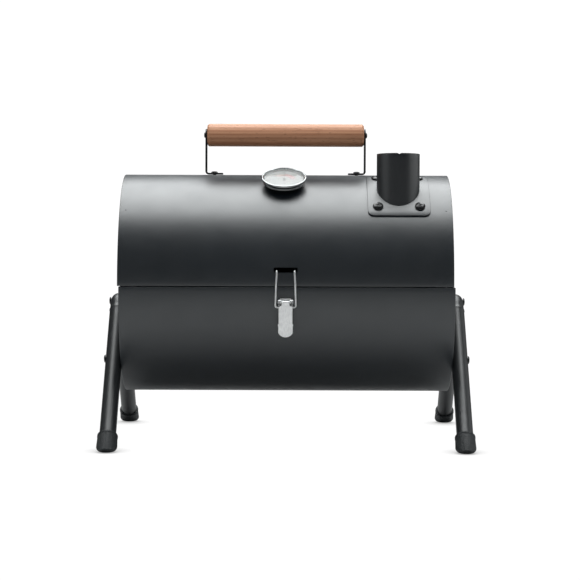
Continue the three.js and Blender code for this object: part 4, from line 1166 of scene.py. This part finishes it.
def latch_base():
    """A strap riveted to the lower shell, with two ears for the fulcrum and a cross bar."""
    radius = BARREL_RADIUS + GAP
    start, end = [radians(lean) * radius for lean in (96.4, 113)]
    strap = prism(rectangle(LATCH_X - EAR_HALF, LATCH_X + EAR_HALF, start, end, 1.5 * MM), 0, GAUGE, 0.3 * MM)
    strap = round_the_barrel(strap, radius, 130, 1.5)

    def on_strap(height):
        """A point of the ears' root, sunk into the strap, at a height over the fulcrum."""
        z = FULCRUM.z + height
        return -sqrt(radius ** 2 - (z - AXIS_Z) ** 2) + 0.15 * MM - GAUGE * 0.6, z

    ear = [(FULCRUM.y - z, FULCRUM.z + y) for y, z in circle_points(2.9 * MM, 0, 180)]
    outline = [on_strap(3.6 * MM), *ear, on_strap(-5 * MM)]
    ears = [cheek(outline, EAR_HALF, side, 0.2 * MM) for side in (-1, 1)]
    bar_low = FULCRUM.z + 2.6 * MM
    bar = block((LATCH_X - EAR_HALF, -radius - GAUGE * 1.3, bar_low),
                (LATCH_X + EAR_HALF, -radius + 0.9 * MM, bar_low + GAUGE), 0.2 * MM, 0.2 * MM)
    base = cut(weld(strap, *ears, bar), cross_drill(PIN_HOLE, FULCRUM))
    add_piece("latch_base_bracket", base, ZINC, "base", ["latch_base"], STEEL_CREASE)


def latch_pins():
    half = (PLATE_HALF + GAP) / MM
    shaft, head, thick = 1.5, 2.3, 0.7
    pin = revolve(arcs([(0, -half - thick, 0), (head, -half - thick, 0.5), (head, -half, 0.1),
                        (shaft, -half, 0), (shaft, half, 0), (head, half, 0.1), (head, half + thick, 0.5),
                        (0, half + thick, 0)], steps=3), 32)
    add_piece("latch_fulcrum_rivet", placed(pin, ALONG_X, Matrix.Translation(FULCRUM)), PIN_ZINC, "base",
              ["latch_fulcrum_pin"])
    seat = (GAP + GAUGE) / MM + 0.2
    inside = -(SHEET + GAP) / MM
    for name, lean in (("upper", 103), ("lower", 109)):
        stations = [(0, inside - 0.9, 0), (2.4, inside - 0.9, 0.3), (2.4, inside, 0.1), (shaft, inside, 0),
                    (shaft, seat, 0), (2.8, seat, 0.1), (2.1, seat + 1.0, 0.6), (0, seat + 1.2, 0)]
        rivet = placed(turned(stations, 3, 32), on_barrel(lean, LATCH_X))
        add_piece(f"latch_rivet_{name}_steel", rivet, PIN_ZINC, "base", [f"latch_rivet_{name}"])


# ---------------------------------------------------------------- inside the barrel

def cooking_grate():
    """A wire grate: cross bars welded to a rod frame, with two stiffeners below."""
    low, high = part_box("cooking_grate")
    frame_radius, bar_radius, corner, pitch = 2 * MM, 1.5 * MM, 8 * MM, 19.5 * MM
    level = high.z - frame_radius
    half_x, half_y = high.x - frame_radius, high.y - frame_radius
    corners = [(x, y, level) for x, y in ((half_x, half_y), (-half_x, half_y), (-half_x, -half_y),
                                          (half_x, -half_y))]
    ring = rounded([(c, corner) for c in corners], 8, closed=True)
    ring.append(ring[0])
    parts = [sweep(ring, [frame_radius] * len(ring), 16)]
    count = 2 * int((half_x - pitch / 2) / pitch) + 1
    for k in range(count):
        x = (k - (count - 1) / 2) * pitch
        parts.append(wire([(x, -half_y, level), (x, half_y, level)], bar_radius, 12))
    reach = half_x - 9 * MM
    for y in (-58 * MM, 58 * MM):
        parts.append(wire([(x, y, low.z + bar_radius) for x in (-reach, reach)], bar_radius, 12))
    add_piece("cooking_grate_wires", together(*parts), CHROME, "base", ["cooking_grate"])


def charcoal_tray():
    """A pressed tray with its rim turned down, and rows of round-ended slots."""
    low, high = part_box("charcoal_tray")
    corner, edge, through = 6 * MM, 1.6 * MM, 5 * MM
    outside = block(low, high, corner, edge)
    hollow = block((low.x + SHEET, low.y + SHEET, low.z - through),
                   (high.x - SHEET, high.y - SHEET, high.z - SHEET), corner - SHEET, 0.6 * MM)
    rows, columns = 3, 9
    length, width = 34 * MM, 9 * MM
    slots = []
    for row in range(rows):
        for column in range(columns):
            x = (column - (columns - 1) / 2) * (high.x - low.x) / columns
            y = (row - (rows - 1) / 2) * (high.y - low.y) / rows
            slots.append(block((x - width / 2, y - length / 2, high.z - through),
                               (x + width / 2, y + length / 2, high.z + through), width * 0.49))
    tray = cut(outside, hollow, together(*slots))
    add_piece("charcoal_tray_pressing", tray, TRAY_STEEL, "base", ["charcoal_tray"])


def grate_rail(node, side):
    """An angle on the barrel's end, with a ledge for the grate."""
    low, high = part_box(node)
    wall = high.x if side > 0 else low.x
    shelf = low.z + SHEET
    ledge = high.x - low.x
    inner_bend, outer_bend = 0.8 * MM, 0.9 * MM
    profile = [(0, high.z), (-SHEET, high.z), (-SHEET, shelf + inner_bend), (-SHEET - inner_bend, shelf),
               (-ledge, shelf), (-ledge, low.z), (-outer_bend, low.z), (0, low.z + outer_bend)]
    outline = [(wall + side * x, z) for x, z in profile]
    rail = placed(prism(outline, low.y, high.y, 0.25 * MM), TO_REAR)
    add_piece(f"{node}_angle", rail, TRAY_STEEL, "base", [node])


# ---------------------------------------------------------------- assembly

lid_shell()
lower_shell()
for side_name, side_sign in (("right", 1), ("left", -1)):
    end_pressing(f"lid_end_{side_name}", side_sign)
    end_pressing(f"lower_end_{side_name}", side_sign)
    leg_frame(f"leg_frame_{side_name}")
    for end_name in ("front", "rear"):
        foot(f"foot_{end_name}_{side_name}", f"leg_frame_{side_name}")
    for bolt_name in ("apex", "front", "rear"):
        leg_bolt(f"leg_bolt_{bolt_name}_{side_name}", side_sign)
    hinge_leaf(f"hinge_leaf_upper_{side_name}", True)
    hinge_leaf(f"hinge_leaf_lower_{side_name}", False)
    hinge_pin(f"hinge_pin_{side_name}")
    handle_bracket(f"handle_bracket_{side_name}", side_sign)
    handle_foot_screw(f"handle_foot_screw_{side_name}")
    handle_end_screw(f"handle_end_screw_{side_name}", side_sign)
    grate_rail(f"grate_rail_{side_name}", side_sign)
chimney_pipe()
chimney_flange()
for index, screw_name in enumerate(CHIMNEY_SCREWS):
    chimney_screw(screw_name, 12 + 31 * index)
handle_grip()
for build in (thermometer_case, thermometer_dial, thermometer_print, thermometer_needle, thermometer_glass,
              thermometer_stem, thermometer_nut, latch_lever, latch_bail, latch_base, latch_pins,
              cooking_grate, charcoal_tray):
    build()


# ---------------------------------------------------------------- studio

FOCAL_PIXELS = 2042                     # focal length, in pixels of a 580 pixel wide picture
PICTURE = 580
SENSOR = 36
CAMERA_PLACE = (0.0035, -2.45, AXIS_Z + 0.091)
CAMERA_PITCH = 2.33                     # degrees down
CAMERA_ROLL = 0.22

ROOM_RADIANCE = 0.08
BACKDROP_RADIANCE = 1.05
FLOOR_SIZE = 12
FLOOR_ALBEDO = 0.5
FLOOR_DROP = 0.4 * MM                   # the feet stand clear of the paper by this much
LID_TOP = AXIS_Z + BARREL_RADIUS


def camera():
    data = bpy.data.cameras.new("camera")
    data.sensor_width = SENSOR
    data.lens = FOCAL_PIXELS / PICTURE * SENSOR
    data.clip_start = 0.1
    data.clip_end = 50
    obj = bpy.data.objects.new("camera", data)
    bpy.context.scene.collection.objects.link(obj)
    obj.matrix_world = (Matrix.Translation(CAMERA_PLACE)
                        @ Matrix.Rotation(radians(90 - CAMERA_PITCH), 4, "X")
                        @ Matrix.Rotation(radians(CAMERA_ROLL), 4, "Z"))
    bpy.context.scene.camera = obj


def soft_light(name, position, target, width, height, radiance, mirrored=True):
    """A rectangular softbox that shines towards a point; one that is not mirrored only fills in."""
    data = bpy.data.lights.new(name, "AREA")
    data.shape = "RECTANGLE"
    data.size = width
    data.size_y = height
    data.energy = radiance * pi * width * height
    data.color = (0.968, 0.997, 1)
    obj = bpy.data.objects.new(name, data)
    bpy.context.scene.collection.objects.link(obj)
    obj.location = position
    obj.rotation_euler = (Vector(target) - Vector(position)).to_track_quat("-Z", "Y").to_euler()
    obj.visible_camera = False
    obj.visible_glossy = mirrored


def seen_directly(tree, otherwise, seen, output):
    """Shows one shader to the camera, and another to everything else."""
    path = tree.nodes.new("ShaderNodeLightPath")
    mix = tree.nodes.new("ShaderNodeMixShader")
    tree.links.new(path.outputs["Is Camera Ray"], mix.inputs[0])
    tree.links.new(otherwise.outputs[0], mix.inputs[1])
    tree.links.new(seen.outputs[0], mix.inputs[2])
    tree.links.new(mix.outputs[0], tree.nodes[output].inputs["Surface"])


def world():
    """White behind the object, and a dim studio round it for its reflections."""
    studio = bpy.data.worlds.new("studio")
    bpy.context.scene.world = studio
    studio.use_nodes = True
    tree = studio.node_tree
    room = tree.nodes["Background"]
    room.inputs["Color"].default_value = (0.94, 0.97, 1.0, 1)
    room.inputs["Strength"].default_value = ROOM_RADIANCE
    backdrop = tree.nodes.new("ShaderNodeBackground")
    backdrop.inputs["Color"].default_value = (1, 1, 1, 1)
    backdrop.inputs["Strength"].default_value = BACKDROP_RADIANCE
    seen_directly(tree, room, backdrop, "World Output")


def floor():
    """A plain white sweep of paper. The camera sees it as a glow that darkens only close to what stands on
    it, a painted contact shadow; all other rays see the diffuse paper.
    """
    mesh = bpy.data.meshes.new("floor")
    corners = [(x * FLOOR_SIZE, y * FLOOR_SIZE, 0) for x, y in ((-1, -1), (1, -1), (1, 1), (-1, 1))]
    mesh.from_pydata(corners, [], [(0, 1, 2, 3)])
    obj = bpy.data.objects.new("floor", mesh)
    bpy.context.scene.collection.objects.link(obj)
    obj.location.z = -FLOOR_DROP
    paper = Recipe("floor_paper", 0.95, specular=0.1)
    paper.shader.inputs["Base Color"].default_value = (FLOOR_ALBEDO, FLOOR_ALBEDO, FLOOR_ALBEDO, 1)
    # Painted contact shadow: the glow the camera sees is dimmed by ambient occlusion close to what stands on
    # the paper.
    near = paper.node("ShaderNodeAmbientOcclusion", {"Distance": 0.03}, samples=16).outputs["AO"]
    glow_with_painted_contact_shadow = paper.node("ShaderNodeEmission", {"Strength": paper.spread(near, 0.25, 0.96, 0.45, 1.04)})
    seen_directly(paper.tree, paper.shader, glow_with_painted_contact_shadow, "Material Output")
    mesh.materials.append(paper.material)


camera()
world()
floor()
soft_light("overhead", (0, 0.38, 1.75), (0, 0, LID_TOP), 1.8, 1.9, 5.5)
soft_light("left_panel", (-1.9, -0.5, 0.8), (0, 0, AXIS_Z), 1.7, 1.4, 0.42)
soft_light("right_panel", (1.9, 0.1, 0.8), (0, 0, AXIS_Z), 2.4, 1.4, 0.72)
soft_light("floor_fill", (0, -1.6, 1.3), (0, -0.2, 0), 2.4, 1.2, 1.0, mirrored=False)

bpy.context.scene.view_settings.view_transform = "Standard"
bpy.context.scene.view_settings.look = "None"

bpy.context.view_layer.update()
